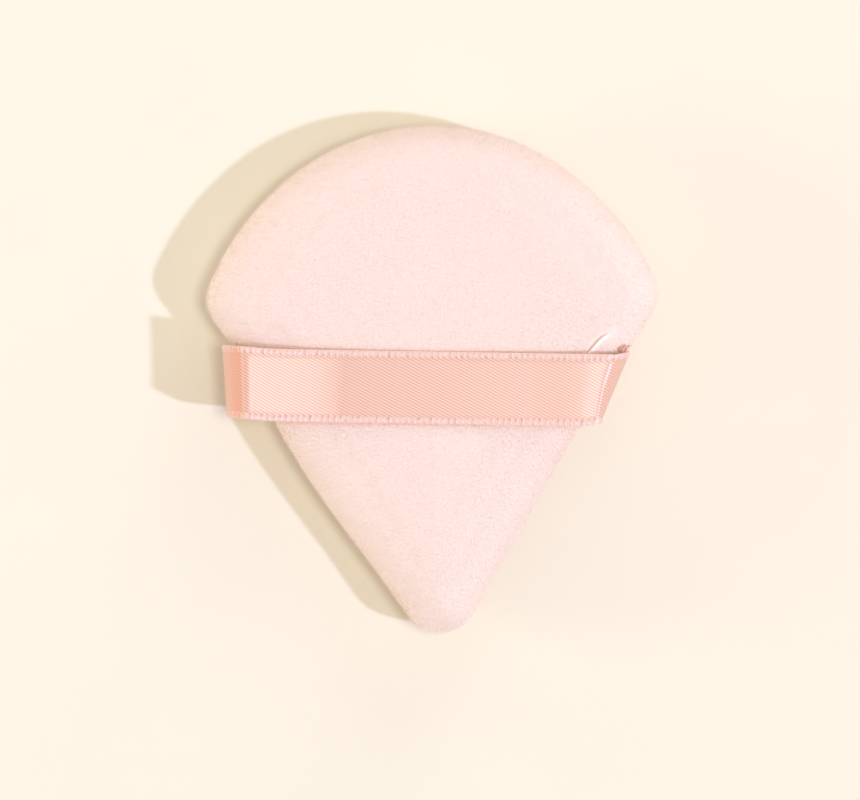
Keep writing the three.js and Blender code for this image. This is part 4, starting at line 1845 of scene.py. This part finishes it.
@dataclass
class Studio:
    """A cream floor, a soft warm fill, a low key light from the right, soft lamps and a camera above."""

    floor_size: float = 1.6
    fill_colour: str = "#FFF6EC"
    fill: float = 0.36
    fill_lean: tuple[float, float, float] = (-0.4, 0.0, 0.5)
    backdrop: str = "#FCF4E8"
    key_colour: str = "#C9D4FF"
    key: float = 1.68
    key_angle: float = 3.0
    to_key: tuple[float, float, float] = (0.661, -0.235, 0.713)
    lamps: tuple[SoftLamp, ...] = (
        SoftLamp("sheen_panel", (0.23, -0.03, 1.17), 0.22, 3.5),
        SoftLamp("left_card", (-0.54, 0.0, 0.1), 0.2, 1.05),
        SoftLamp("far_card", (0.2, 0.6, 0.22), 0.36, 0.95),
        SoftLamp("right_card", (0.52, -0.12, 0.2), 0.36, 0.44, "#FFE6D0"),
    )
    eye: tuple[float, float, float] = (-0.81, -2.69, 800.0)
    turn: float = -0.02
    lens: float = 236.9
    sensor: float = 36.0
    clip: tuple[float, float] = (0.01, 20.0)

    def build(self) -> None:
        """Sets up the floor, the lights and the camera."""
        self.lay_floor()
        self.light()
        self.aim_camera()
        bpy.context.scene.view_settings.view_transform = "Standard"

    def lay_floor(self) -> None:
        """Lays the plain floor that the puff rests on."""
        bpy.ops.object.select_all(action="DESELECT")
        bpy.ops.mesh.primitive_plane_add(size=self.floor_size)
        floor = bpy.context.object
        floor.name = "floor"
        floor.data.materials.append(PAPER.material())

    def light(self) -> None:
        """Hangs the key light and the soft lamps, and fills the rest from all round."""
        bpy.ops.object.light_add(type="SUN", location=Vector(self.to_key))
        lamp = bpy.context.object
        lamp.name = "key"
        lamp.data.energy = self.key
        lamp.data.color = linear(self.key_colour)[:3]
        lamp.data.angle = math.radians(self.key_angle)
        lamp.rotation_euler = Vector(self.to_key).to_track_quat("Z", "Y").to_euler()
        for soft in self.lamps:
            soft.hang()
        world = bpy.data.worlds.new("soft_fill")
        world.use_nodes = True
        tree = world.node_tree
        tree.nodes.clear()
        seen = add_node(tree, "ShaderNodeLightPath").outputs["Is Camera Ray"]
        way = add_node(tree, "ShaderNodeTexCoord").outputs["Generated"]
        turned = add_node(
            tree, "ShaderNodeVectorMath", {"operation": "DOT_PRODUCT", 1: self.fill_lean}, {0: way}
        )
        strength = add_node(
            tree,
            "ShaderNodeMath",
            {"operation": "MULTIPLY_ADD", 1: self.fill, 2: self.fill},
            {0: turned.outputs["Value"]},
        )
        glow = add_node(
            tree,
            "ShaderNodeBackground",
            {"Color": linear(self.fill_colour)},
            {"Strength": strength.outputs[0]},
        )
        behind = add_node(tree, "ShaderNodeBackground", {"Color": linear(self.backdrop)})
        both = add_node(
            tree, "ShaderNodeMixShader", links={0: seen, 1: glow.outputs[0], 2: behind.outputs[0]}
        )
        add_node(tree, "ShaderNodeOutputWorld", links={"Surface": both.outputs[0]})
        bpy.context.scene.world = world

    def aim_camera(self) -> None:
        """Puts the camera straight above the puff, turned as the photograph is."""
        bpy.ops.object.camera_add(location=Vector(self.eye) * MM, rotation=(0, 0, self.turn))
        camera = bpy.context.object
        camera.data.lens = self.lens
        camera.data.sensor_width = self.sensor
        camera.data.clip_start, camera.data.clip_end = self.clip
        bpy.context.scene.camera = camera


def main() -> None:
    """Builds the puff's pieces in order and sets up the studio."""
    logging.basicConfig(level=logging.INFO, format="%(message)s")
    cover = PuffCover()
    covers = cover.build()
    cover.dress(covers)
    strap = FingerStrap()
    stretches = strap.build()
    strap.dress(stretches)
    pile = CutPile()
    finish = PILE.material()
    for side in Side:
        pile.dress(pile.build(cover, side, strap.covers), side, finish)
    stitching = Stitching()
    front = cover.skins[Side.FRONT]
    stitching.dress(stitching.closing(front), stitching.tack_ends(front))
    Studio().build()


if __name__ == "__main__":
    main()
